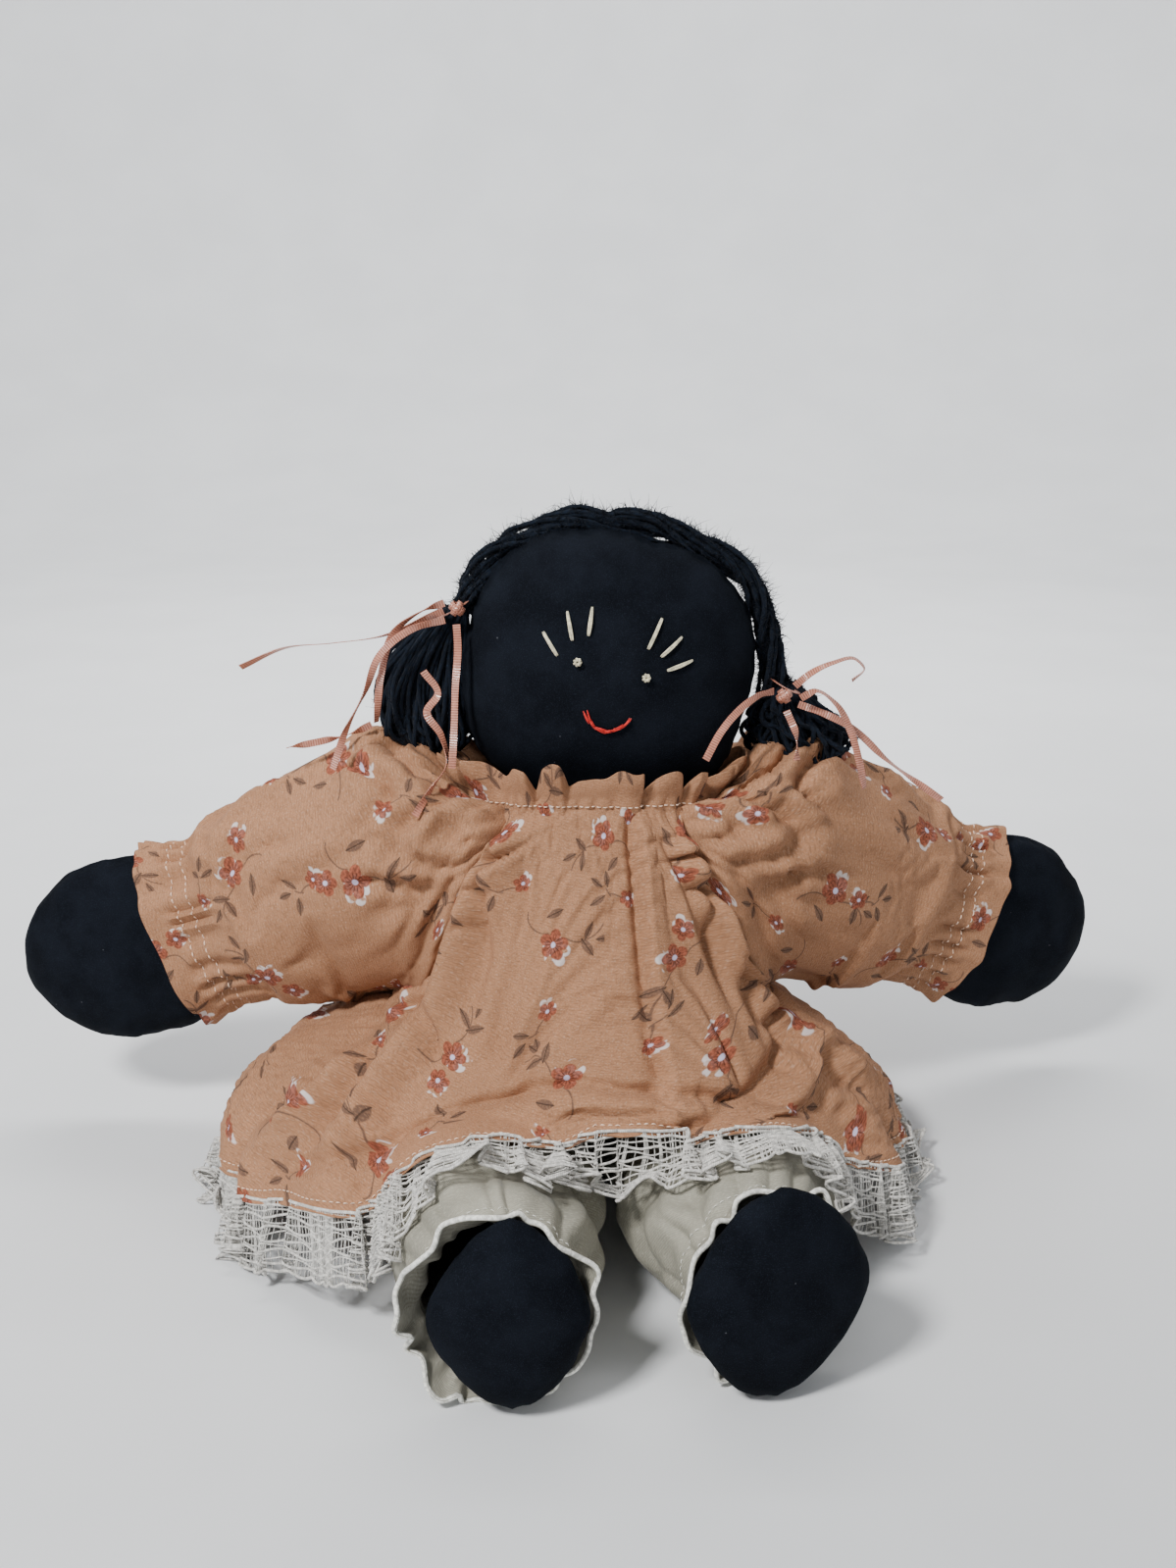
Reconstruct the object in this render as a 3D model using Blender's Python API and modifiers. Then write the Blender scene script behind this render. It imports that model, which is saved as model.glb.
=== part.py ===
"""Seated rag doll in a calico dress, built as the separate sewn pieces it is made of.

Metres, +Z up. The doll faces -Y and its own left hand is at +X. The origin is on the ground
under the middle of the seat. Every angle that places a limb is named with the limb.
"""
import math

import bmesh
import bpy
import numpy as np
from mathutils import Matrix, Vector

MM = 0.001
GAP = 0.5 * MM
CLOTH = 1.2 * MM
GROUND_REACH = 0.3
SIDES = {"left": 1.0, "right": -1.0}

# Head and neck
HEAD_HALF = np.array([58.4, 33.0, 57.2]) * MM
HEAD_CENTRE = np.array([5.4, 0.0, 214.2]) * MM
HEAD_TILT = math.radians(11.5)
HEAD_SQUARENESS = 2.5
NECK_LOW = np.array([0.0, 2.0, 148.0]) * MM
NECK_HIGH = np.array([-4.0, 1.0, 156.6]) * MM
NECK_RADIUS = 12 * MM

# Torso, as (height, half width, half depth)
TORSO_STATIONS = (
    (1.8, 26, 15), (1.8, 40, 24), (8, 47.5, 30), (22, 52, 34.4), (60, 52, 34.6),
    (104, 51, 33.6), (126, 51, 31.5), (138, 44, 27), (145, 28, 19), (146.6, 13, 9),
)

# Shoulders and arms
SHOULDER_X = 50.2 * MM
SHOULDER_Y = 4 * MM
SHOULDER_Z = 129 * MM
SHOULDER_FLAP_LENGTH = 10 * MM
SHOULDER_FLAP_HEIGHT = 30 * MM
FLAP_THICKNESS = 3 * MM
ARM_END_RADIUS = 17 * MM
ARM_SWUNG_BACK = {"left": math.radians(22.3), "right": math.radians(5.7)}
ARM_DROOP = {"left": math.radians(22.4), "right": math.radians(19.6)}
# (distance from the raising pivot, half height, half depth)
ARM_STATIONS = (
    (-16.9, 4.0, 1.4), (-13, 11.0, 3.0), (-3, 17.4, 8.0), (18, 21.5, 16), (54, 24, 18.6),
    (86, 31.5, 16.8), (112, 40.0, 16.4), (134, 43.0, 16.8), (156, 38.5, 15.4), (175, 25, 10.4),
    (186, 9, 4.0),
)

# Hips and legs
HIP_X = 30 * MM
HIP_Y = -36.4 * MM
HIP_Z = 22 * MM
HIP_FLAP_LENGTH = 6.5 * MM
HIP_FLAP_WIDTH = 28 * MM
LEG_END_RADIUS = 12 * MM
LEG_SPLAY = {"left": math.radians(16), "right": math.radians(-1)}
# (distance from the splay pivot, half width, half height, height of the middle)
LEG_STATIONS = (
    (-11.9, 4.0, 1.4, 22), (-8, 8.8, 3.4, 22), (0, 12.6, 8.0, 22.8), (22, 21.6, 19, 26.2),
    (52, 25, 25.2, 30.4), (82, 26, 29.4, 33.6),
)
FOOT_STATIONS = {
    "left": ((100, 28.4, 36.6, 37.4), (114, 34.4, 42.6, 40.2), (121, 18, 25, 41)),
    "right": ((108, 28.6, 37.6, 37.0), (121, 27.4, 37.4, 37.6), (126.4, 14, 20, 38)),
}
# How much longer a pantaloon leg is from its thigh to its ankle, and how far its ankle lies inward
LEG_EXTRA = {"left": 0.0, "right": 8.5}
ANKLE_INWARD = {"left": 3.6, "right": 0.8}
EXTRA_START = 42.0
EXTRA_END = 84.0

# Pantaloons: (height, half width, half depth) of the seat, then the leg tube as
# (distance from the splay pivot, half width, half height, height of the middle, shift outward)
SEAT_STATIONS = (
    (0.1, 40, 24), (3.0, 49.5, 31.5), (12, 54.6, 36.6), (30, 56.8, 38.6), (52, 56.2, 38.2),
    (71, 54.6, 37.4),
)
SEAT_CREASES = 14
PANTALOON_STATIONS = (
    (-7, 26.5, 25, 28.6, 0), (12, 33, 27.5, 30.6, 5), (42, 40.5, 29.6, 32.2, 10),
    (68, 38.0, 31.6, 34.4, 7.5), (84, 32.2, 34.0, 36.4, 4), (89, 30.8, 35.4, 37.4, 2.5),
)
ANKLE_STATIONS = ((89.8, 30.8, 35.4, 37.4, 2.5), (94.2, 30.8, 35.8, 37.8, 2.2))
ANKLE_RUFFLE_STATIONS = (
    (95.0, 30.8, 35.9, 37.9, 2.2), (100, 31.8, 36.6, 38.4, 2), (106.5, 33.2, 37.6, 39.3, 1.8),
)
PANTALOON_FOLDS = 9
WAIST_LOW = 72.0 * MM
WAIST_HIGH = 77.5 * MM

# Sleeves: (distance from the raising pivot, half height, half depth)
CAP_END_STATION = (22.2, 43.4, 34.8)
SLEEVE_STATIONS = (
    (24, 43.4, 34.8), (38, 44.2, 32.4), (54, 43.8, 29.8), (72, 41.0, 26.2), (90.6, 37.0, 21.2),
)
WRIST_STATIONS = ((91.4, 36.9, 20.8), (97.4, 37.6, 20.6))
CUFF_STATIONS = ((98.2, 37.8, 20.8), (104, 40.4, 22.0), (112.4, 43.6, 24.2))
SLEEVE_FOLDS = 12

# Dress: (share of its length, reach to the doll's right, left, front and back,
# height in front, at the side and behind)
DRESS_STATIONS = (
    (0.00, 55, 54, -38.5, 38.5, 161.6, 157.6, 161.6),
    (0.20, 60, 57, -48, 45, 141, 139, 136),
    (0.42, 75, 69, -60, 50, 113, 84, 99),
    (0.50, 82, 76, -65, 53, 105, 72.5, 87),
    (0.65, 114, 97, -76, 61, 91, 58.5, 66),
    (0.85, 145, 121, -98, 73, 79, 38, 38),
    (1.00, 153, 131, -118, 82, 75, 19, 19),
)
DRESS_MIDDLE_Y = -18 * MM
DRESS_SQUARENESS = 0.24
UNDERARM = 0.42
RAGLAN_HALF_ANGLE = math.radians(40)
RAGLAN_SWEEP = 2.6
SIDE_SEAM_SLIP = math.radians(0.5)
LIFT_POWER = {"left": 2.0, "right": 2.8}
SKIRT_FOLDS = 11
SKIRT_FOLD_DEPTH = 3.0 * MM
CAP_PUFF = 12 * MM
CAP_SLIP = 2.0 * MM
LACE_WIDTH = 28 * MM
LACE_FOLDS = 23
LACE_LOWEST = 1.4 * MM

# Neckline
NECK_RING_HALF = np.array([54.5, 38.5]) * MM
NECK_RING_X = -0.5 * MM
NECK_RING_SIDE_LIFT = -4 * MM
NECK_ELASTIC_Z = (162.8 * MM, 168.0 * MM)
NECK_RUFFLE_Z = (169.0 * MM, 184 * MM)
NECK_RUFFLE_SPREAD = 6 * MM
NECK_RUFFLE_FOLDS = 10

# Face, in the head's own upright plane: (sideways, up) from the head's middle
EYES = {"right": (-14.0, 9.2), "left": (13.0, 8.4)}
EYE_RADIUS = 1.7 * MM
LASHES = {
    "right": (((-29, 17), (-22, 9.5)), ((-21.5, 26.5), (-17.5, 16.5)), ((-12.5, 30.0), (-11.8, 19.5))),
    "left": (((14.5, 31.0), (11.5, 19.0)), ((23.5, 25.5), (17.0, 17.0)), ((29.5, 17.5), (20.5, 12.2))),
}
MOUTH = ((-7.0, -10.0), (-2.5, -15.5), (4.0, -15.5), (8.6, -11.4), (10.2, -8.6))
THREAD_RADIUS = 0.55 * MM

# Yarn: the band over the head, and each bundle as (x, y, z, half width, half depth)
BAND_RADIUS = 5.2 * MM
BAND_ROUTE = (
    (-56, 3, 241), (-50, 3, 252), (-37, 4, 267), (-20, 4, 275.8), (-4, 4, 278.4), (10, 4, 276.6),
    (27, 4, 275.2), (43, 4, 270.4), (57, 4, 261), (67.5, 4, 246), (72.6, 5, 229), (76, 6, 213),
)
BUNDLES = {
    "right": ((-59, 5, 234.0, 5, 5), (-64, 6, 229, 10, 9), (-71, 8, 213, 16, 12.5),
              (-73, 8, 197, 16.5, 13), (-71, 7, 185, 14, 11), (-70, 6, 179, 7, 6)),
    "left": ((77, 6, 205.5, 5, 5), (79, 7, 201, 11, 8), (83, 8, 191, 19, 12),
             (85, 8, 183, 21.5, 13), (85, 7, 177.5, 17, 11), (85, 6, 175.4, 9, 6)),
}

# Ribbon bows: a knot on each bundle, and the tails as routes of points in millimetres
RIBBON_WIDTH = 3 * MM
RIBBON_THICKNESS = 0.4 * MM
KNOT_HALF = np.array([3.4, 2.8, 3.6]) * MM
KNOTS = {"right": (-54, -8, 242), "left": (76, -8, 206.5)}
TIES = {"right": (-56, 4, 240), "left": (77, 5, 208.5)}
TAILS = {
    "right_ribbon_long_tail": ((-59.4, -9, 241), (-68, -10, 237.5), (-82, -12, 232), (-103, -13, 229),
                               (-122, -13, 227), (-140, -12, 219)),
    "right_ribbon_curled_tail": ((-58.6, -13, 245), (-68, -14, 241.5), (-78, -15, 234), (-84, -15, 217),
                                 (-87, -14, 197)),
    "right_ribbon_outer_tail": ((-58.4, -14.5, 238.6), (-72, -17, 235), (-84, -18, 225), (-90, -18, 211),
                                (-99, -17, 194), (-105, -16, 178)),
    "right_ribbon_straight_tail": ((-54, -13, 236.4), (-53.4, -17, 228), (-54.4, -21, 213),
                                   (-55, -25, 197), (-56, -28, 182)),
    "right_ribbon_wavy_tail": ((-67, -18.5, 219), (-61.5, -19, 210), (-66, -20, 203), (-60.5, -22, 194),
                               (-58, -26, 184), (-64, -33, 175), (-70, -39, 166)),
    "right_ribbon_back_tail": ((-90.6, -3, 193), (-98, -5, 190), (-110, -6, 187), (-125, -6, 184)),
    "left_ribbon_looped_tail": ((80, -10.5, 211), (85.5, -12, 216.4), (94, -13, 221), (103, -13, 222.6),
                                (106.4, -14.5, 219), (101.6, -16, 214.6)),
    "left_ribbon_hooked_tail": ((82, -14, 207), (88, -16.5, 210.5), (95, -17.5, 206), (102, -17.5, 194),
                                (106, -17, 182), (109, -16, 170)),
    "left_ribbon_long_tail": ((82, -8.5, 203), (90, -10, 200.4), (103, -10, 194), (118, -10, 180.6),
                              (142, -10, 163)),
    "left_ribbon_face_tail": ((71.5, -11, 209), (65, -17, 208.8), (57, -24, 205), (49, -31, 197.6),
                              (43, -36, 188)),
    "left_ribbon_short_tail": ((76.6, -13.4, 201.6), (80.6, -16, 192), (81, -17, 182)),
}

COLOURS = {
    "black_cloth": ((0.012, 0.013, 0.02), 0.9),
    "calico": ((0.83, 0.50, 0.33), 0.85),
    "lace": ((0.86, 0.83, 0.79), 0.8),
    "white_cotton": ((0.78, 0.76, 0.69), 0.7),
    "yarn": ((0.008, 0.020, 0.035), 0.95),
    "satin": ((0.76, 0.42, 0.32), 0.35),
    "cream_thread": ((0.80, 0.74, 0.58), 0.6),
    "red_thread": ((0.60, 0.03, 0.02), 0.6),
    "elastic": ((0.80, 0.78, 0.74), 0.8),
}


def clear_objects():
    """Take away every object that is in the file."""
    for thing in list(bpy.data.objects):
        bpy.data.objects.remove(thing, do_unlink=True)


def new_collection(name):
    """Make a collection under the scene's own."""
    group = bpy.data.collections.new(name)
    bpy.context.scene.collection.children.link(group)
    return group


def finish_with(obj, kind):
    """Give an object its own material of one kind."""
    colour, roughness = COLOURS[kind]
    material = bpy.data.materials.new(f"{obj.name}_{kind}")
    material.use_nodes = True
    shader = material.node_tree.nodes["Principled BSDF"]
    shader.inputs["Base Color"].default_value = (*colour, 1.0)
    shader.inputs["Roughness"].default_value = roughness
    shader.inputs["Metallic"].default_value = 0.0
    obj.data.materials.append(material)


def add_mesh(name, points, faces, kind, group):
    """Put points and faces into a smooth-shaded object."""
    mesh = bpy.data.meshes.new(name)
    mesh.from_pydata([tuple(map(float, p)) for p in points], [], faces)
    shape = bmesh.new()
    shape.from_mesh(mesh)
    bmesh.ops.recalc_face_normals(shape, faces=shape.faces)
    shape.to_mesh(mesh)
    shape.free()
    mesh.shade_smooth()
    obj = bpy.data.objects.new(name, mesh)
    group.objects.link(obj)
    finish_with(obj, kind)
    return obj


def sew_grid(rows, columns, wrapped):
    """Quads between the points of a grid, closed round when it is wrapped."""
    across = columns if wrapped else columns - 1
    return [
        (i * columns + j, i * columns + (j + 1) % columns,
         (i + 1) * columns + (j + 1) % columns, (i + 1) * columns + j)
        for i in range(rows - 1)
        for j in range(across)
    ]


def stuffed(name, rings, kind, group, levels=1):
    """A closed form lofted through unlike rings, capped at both ends and smoothed."""
    rows, columns = rings.shape[:2]
    faces = sew_grid(rows, columns, True)
    faces.append(tuple(range(columns))[::-1])
    faces.append(tuple((rows - 1) * columns + j for j in range(columns)))
    obj = add_mesh(name, rings.reshape(-1, 3), faces, kind, group)
    if levels:
        smooth = obj.modifiers.new("stuffing", "SUBSURF")
        smooth.levels = levels
        smooth.render_levels = levels
    return obj


def cloth(name, grid, kind, group, wrapped, thickness=CLOTH):
    """A sheet of cloth: an open grid of points given its thickness."""
    rows, columns = grid.shape[:2]
    obj = add_mesh(name, grid.reshape(-1, 3), sew_grid(rows, columns, wrapped), kind, group)
    body = obj.modifiers.new("thickness", "SOLIDIFY")
    body.thickness = thickness
    body.offset = 0.0
    return obj


def cut_by(obj, cutter):
    """Take a cutter's shape out of an object."""
    cutter.hide_render = True
    cutter.display_type = "WIRE"
    cut = obj.modifiers.new(f"cut_{cutter.name}", "BOOLEAN")
    cut.operation = "DIFFERENCE"
    cut.object = cutter


def box(name, low, high, group):
    """A box between two corners."""
    low = np.array(low)
    high = np.array(high)
    shape = bmesh.new()
    middle = Matrix.Translation(Vector((low + high) / 2)) @ Matrix.Diagonal((*(high - low), 1.0))
    bmesh.ops.create_cube(shape, size=1.0, matrix=middle)
    mesh = bpy.data.meshes.new(name)
    shape.to_mesh(mesh)
    shape.free()
    obj = bpy.data.objects.new(name, mesh)
    group.objects.link(obj)
    return obj


def flow(stations, share):
    """Smooth values between hand-set stations: cubic, with the slope of each station's neighbours."""
    table = np.array(stations, float)
    places = table[:, 0]
    values = table[:, 1:]
    slopes = np.gradient(values, places, axis=0)
    share = np.clip(np.atleast_1d(share), places[0], places[-1])
    low = np.clip(np.searchsorted(places, share, side="right") - 1, 0, len(places) - 2)
    span = places[low + 1] - places[low]
    t = ((share - places[low]) / span)[:, None]
    span = span[:, None]
    return (
        (2 * t**3 - 3 * t**2 + 1) * values[low]
        + (t**3 - 2 * t**2 + t) * span * slopes[low]
        + (3 * t**2 - 2 * t**3) * values[low + 1]
        + (t**3 - t**2) * span * slopes[low + 1]
    )


def angles(count):
    """Even steps round a circle."""
    return np.arange(count) * 2 * np.pi / count


def ring(centre, across, upward, half_across, half_up, count, swell=0.0):
    """An ellipse of points, with an optional swell that follows the angle."""
    turn = angles(count)
    side = (np.cos(turn) * (half_across + swell))[:, None] * across
    rise = (np.sin(turn) * (half_up + swell))[:, None] * upward
    return centre + side + rise


def smooth_route(points, steps):
    """Even samples on a smooth curve through the route's points."""
    table = np.array(points, float) * MM
    reach = np.concatenate([[0.0], np.cumsum(np.linalg.norm(np.diff(table, axis=0), axis=1))])
    stations = np.column_stack([reach, table])
    return flow(stations, np.linspace(0.0, reach[-1], steps))


def arm_frame(side):
    """Raising pivot, arm direction, upward direction and depth direction of one arm."""
    sign = SIDES[side]
    back = ARM_SWUNG_BACK[side]
    level = np.array([sign * math.cos(back), math.sin(back), 0.0])
    hinge = np.array([sign * SHOULDER_X, SHOULDER_Y, SHOULDER_Z])
    pivot = hinge + level * (SHOULDER_FLAP_LENGTH + 0.8 * MM + ARM_END_RADIUS)
    droop = ARM_DROOP[side]
    up = np.array([0.0, 0.0, 1.0])
    along = level * math.cos(droop) - up * math.sin(droop)
    upward = level * math.sin(droop) + up * math.cos(droop)
    depth = np.cross(along, upward) * -sign
    return hinge, level, pivot, along, upward, depth


def leg_frame(side):
    """Point on the ground under the splay pivot, leg direction and sideways direction."""
    sign = SIDES[side]
    splay = LEG_SPLAY[side]
    pivot_y = HIP_Y - HIP_FLAP_LENGTH - 0.8 * MM - LEG_END_RADIUS
    base = np.array([sign * HIP_X, pivot_y, 0.0])
    along = np.array([sign * math.sin(splay), -math.cos(splay), 0.0])
    outward = np.array([sign * math.cos(splay), math.sin(splay), 0.0])
    return base, along, outward


def build_torso(group):
    """The stuffed body, with a flat seat."""
    rings = [
        ring(np.array([0, 0, z]) * MM, np.array([1, 0, 0]), np.array([0, 1, 0]), w * MM, d * MM, 8)
        for z, w, d in TORSO_STATIONS
    ]
    return stuffed("torso", np.array(rings), "black_cloth", group)


def build_neck(group):
    """A short stuffed stub, domed where the head sits on it."""
    lean = (NECK_HIGH - NECK_LOW) / np.linalg.norm(NECK_HIGH - NECK_LOW)
    shares = ((0.0, 0.35), (0.12, 0.8), (0.45, 1.0), (0.78, 0.9), (0.94, 0.6), (1.0, 0.25))
    low = NECK_LOW + lean * GAP
    rings = [
        ring(low + (NECK_HIGH - low) * t, np.array([1, 0, 0]), np.array([0, 1, 0]),
             NECK_RADIUS * r, NECK_RADIUS * r * 0.9, 12)
        for t, r in shares
    ]
    return stuffed("neck", np.array(rings), "black_cloth", group, levels=0)


def head_turn():
    """The matrix that tilts the head toward the doll's left shoulder."""
    return Matrix.Translation(Vector(HEAD_CENTRE)) @ Matrix.Rotation(HEAD_TILT, 4, "Y")


def build_head(group):
    """A round stuffed head, squarer in outline than an ellipse and thin from face to back."""
    shape = bmesh.new()
    bmesh.ops.create_uvsphere(shape, u_segments=20, v_segments=12, radius=1.0)
    for vertex in shape.verts:
        x, y, z = vertex.co
        flat = math.hypot(x, z)
        power = (abs(x) ** HEAD_SQUARENESS + abs(z) ** HEAD_SQUARENESS) ** (1 / HEAD_SQUARENESS)
        fuller = flat / power if power > 1e-6 else 1.0
        vertex.co = (x * fuller * HEAD_HALF[0], y * HEAD_HALF[1], z * fuller * HEAD_HALF[2])
    bmesh.ops.transform(shape, matrix=head_turn(), verts=shape.verts)
    mesh = bpy.data.meshes.new("head")
    shape.to_mesh(mesh)
    shape.free()
    mesh.shade_smooth()
    obj = bpy.data.objects.new("head", mesh)
    group.objects.link(obj)
    finish_with(obj, "black_cloth")
    return obj


def face_point(sideways, up, proud):
    """A point on the face, standing proud of the cloth, in world space."""
    flat = abs(sideways * MM / HEAD_HALF[0]) ** HEAD_SQUARENESS
    tall = abs(up * MM / HEAD_HALF[2]) ** HEAD_SQUARENESS
    share = (flat + tall) ** (1 / HEAD_SQUARENESS)
    depth = HEAD_HALF[1] * math.sqrt(1 - share**2)
    return head_turn() @ Vector((sideways * MM, -depth - proud, up * MM))


def tube(name, points, radius, kind, group, resolution=1):
    """A round thread or rope: a curve with a bevel and filled ends."""
    curve = bpy.data.curves.new(name, "CURVE")
    curve.dimensions = "3D"
    curve.bevel_depth = radius
    curve.bevel_resolution = resolution
    curve.use_fill_caps = True
    line = curve.splines.new("POLY")
    line.points.add(len(points) - 1)
    for place, point in zip(line.points, points):
        place.co = (*point, 1.0)
    obj = bpy.data.objects.new(name, curve)
    group.objects.link(obj)
    finish_with(obj, kind)
    return obj


def build_face(group):
    """Knotted eyes, three lashes over each, and one smiling stitch."""
    for side, (x, z) in EYES.items():
        knot = bmesh.new()
        place = Matrix.Translation(face_point(x, z, EYE_RADIUS + 0.7 * MM))
        bmesh.ops.create_icosphere(knot, subdivisions=1, radius=EYE_RADIUS, matrix=place)
        mesh = bpy.data.meshes.new(f"{side}_eye")
        knot.to_mesh(mesh)
        knot.free()
        mesh.shade_smooth()
        obj = bpy.data.objects.new(f"{side}_eye", mesh)
        group.objects.link(obj)
        finish_with(obj, "cream_thread")
    proud = THREAD_RADIUS + 0.8 * MM
    for side, lashes in LASHES.items():
        for number, (high, low) in enumerate(lashes, 1):
            points = [face_point(*high, proud), face_point(*low, proud)]
            tube(f"{side}_lash_{number}", points, THREAD_RADIUS, "cream_thread", group)
    smile = [face_point(x, z, proud) for x, z in MOUTH]
    tube("mouth_stitch", smile, THREAD_RADIUS, "red_thread", group)


def build_hair(group):
    """The yarn band tacked over the head, and the bundle below each tie."""
    tube("yarn_band", smooth_route(BAND_ROUTE, 22), BAND_RADIUS, "yarn", group, 2)
    for side, stations in BUNDLES.items():
        rings = [
            ring(np.array([x, y, z]) * MM, np.array([1, 0, 0]), np.array([0, 1, 0]), w * MM, d * MM, 8)
            for x, y, z, w, d in stations
        ]
        stuffed(f"{side}_pigtail", np.array(rings), "yarn", group)


def build_ribbons(group):
    """The knot of each bow, and its tails as flat strips."""
    for side, centre in KNOTS.items():
        knot = bmesh.new()
        place = Matrix.Translation(Vector(centre) * MM) @ Matrix.Diagonal((*KNOT_HALF, 1.0))
        bmesh.ops.create_icosphere(knot, subdivisions=2, radius=1.0, matrix=place)
        mesh = bpy.data.meshes.new(f"{side}_ribbon_knot")
        knot.to_mesh(mesh)
        knot.free()
        mesh.shade_smooth()
        obj = bpy.data.objects.new(f"{side}_ribbon_knot", mesh)
        group.objects.link(obj)
        finish_with(obj, "satin")
    for name, route in TAILS.items():
        line = smooth_route(route, 2 * len(route) + 1)
        along = np.gradient(line, axis=0)
        wide = np.cross(along, np.array([0.0, 1.0, 0.0]))
        wide *= RIBBON_WIDTH / 2 / np.linalg.norm(wide, axis=1)[:, None]
        grid = np.stack([line - wide, line + wide], axis=1)
        cloth(name, grid, "satin", group, False, RIBBON_THICKNESS)


def build_flap(name, centre, along, tall, length, height, group):
    """An unstuffed strip of cloth, thin and rounded along its two hinge edges."""
    thin = np.cross(along, tall)
    outline = []
    for side in (-1, 1):
        for step in np.linspace(-math.pi / 2, math.pi / 2, 5):
            reach = side * (length / 2 - FLAP_THICKNESS / 2 + FLAP_THICKNESS / 2 * math.cos(step))
            outline.append(along * reach + thin * (side * FLAP_THICKNESS / 2 * math.sin(step)))
    low = [centre + p - tall * height / 2 for p in outline]
    high = [centre + p + tall * height / 2 for p in outline]
    return stuffed(name, np.array([low, high]), "black_cloth", group, levels=0)


def build_arm(side, group):
    """Shoulder flap, stuffed arm, sleeve, wrist elastic and gathered cuff."""
    hinge, level, pivot, along, upward, depth = arm_frame(side)
    up = np.array([0.0, 0.0, 1.0])
    middle = hinge + level * (SHOULDER_FLAP_LENGTH / 2 - FLAP_THICKNESS / 2)
    build_flap(f"{side}_shoulder_flap", middle, level, up, SHOULDER_FLAP_LENGTH, SHOULDER_FLAP_HEIGHT, group)
    rings = [
        ring(pivot + along * s * MM, depth, upward, b * MM, a * MM, 8) for s, a, b in ARM_STATIONS
    ]
    stuffed(f"{side}_arm", np.array(rings), "black_cloth", group)

    def sleeve_rings(stations, steps, count, folds, depth_of_folds):
        table = flow(stations, np.linspace(stations[0][0], stations[-1][0], steps))
        share = np.linspace(0.0, 1.0, steps)
        places = np.linspace(stations[0][0], stations[-1][0], steps)
        wave = np.cos(folds * angles(count))
        return np.array([
            ring(pivot + along * s * MM, depth, upward, b * MM, a * MM, count, wave * depth_of_folds(t))
            for s, (a, b), t in zip(places, table, share)
        ])

    sleeve = sleeve_rings(SLEEVE_STATIONS, 6, 24, SLEEVE_FOLDS, lambda t: 0.9 * MM * t)
    cloth(f"{side}_sleeve", sleeve, "calico", group, True)
    band = sleeve_rings(WRIST_STATIONS, 2, 20, 0, lambda t: 0.0)
    cloth(f"{side}_wrist_elastic", band, "elastic", group, True, 0.9 * MM)
    cuff = sleeve_rings(CUFF_STATIONS, 2, 24, SLEEVE_FOLDS, lambda t: 0.9 * MM)
    cloth(f"{side}_cuff_ruffle", cuff, "calico", group, True)


def leg_lateness(places, stretch=0.0):
    """How far along the lower leg a place is: 0 up to the thigh's end and 1 from the ankle on."""
    return np.clip((places - EXTRA_START) / (EXTRA_END + stretch - EXTRA_START), 0, 1)


def build_leg(side, group):
    """Hip flap, stuffed leg, pantaloon leg, ankle elastic and ankle ruffle."""
    base, along, outward = leg_frame(side)
    sign = SIDES[side]
    up = np.array([0.0, 0.0, 1.0])
    forward = np.array([0.0, -1.0, 0.0])
    hinge = np.array([sign * HIP_X, HIP_Y, HIP_Z])
    middle = hinge + forward * (HIP_FLAP_LENGTH / 2 - FLAP_THICKNESS / 2)
    across = np.array([1.0, 0.0, 0.0])
    build_flap(f"{side}_hip_flap", middle, forward, across, HIP_FLAP_LENGTH, HIP_FLAP_WIDTH, group)
    rings = [
        ring(base + along * s * MM + up * z * MM, outward, up, a * MM, b * MM, 8)
        for s, a, b, z in LEG_STATIONS + FOOT_STATIONS[side]
    ]
    stuffed(f"{side}_leg", np.array(rings), "black_cloth", group)

    def leg_rings(stations, steps, count, folds, depth_of_folds):
        places = np.linspace(stations[0][0], stations[-1][0], steps)
        table = flow(stations, places)
        wave = np.cos(folds * angles(count))
        late = leg_lateness(places)
        shifts = table[:, 3] - ANKLE_INWARD[side] * late
        places = places + LEG_EXTRA[side] * late
        grid = np.array([
            ring(base + (along * s + outward * shift) * MM + up * z * MM, outward, up,
                 a * MM, b * MM, count, wave * depth_of_folds(t))
            for s, (a, b, z, _), shift, t in zip(places, table, shifts, np.linspace(0.0, 1.0, steps))
        ])
        grid[:, :, 2] = np.maximum(grid[:, :, 2], CLOTH / 2 + 0.05 * MM)
        return grid

    tube_grid = leg_rings(PANTALOON_STATIONS, 6, 27, PANTALOON_FOLDS, lambda t: 1.2 * MM * t)
    cloth(f"{side}_pantaloon_leg", tube_grid, "white_cotton", group, True)
    band = leg_rings(ANKLE_STATIONS, 2, 20, 0, lambda t: 0.0)
    cloth(f"{side}_ankle_elastic", band, "elastic", group, True, 0.9 * MM)
    ruffle = leg_rings(ANKLE_RUFFLE_STATIONS, 2, 27, PANTALOON_FOLDS, lambda t: 0.9 * MM)
    cloth(f"{side}_ankle_ruffle", ruffle, "white_cotton", group, True)


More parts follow.
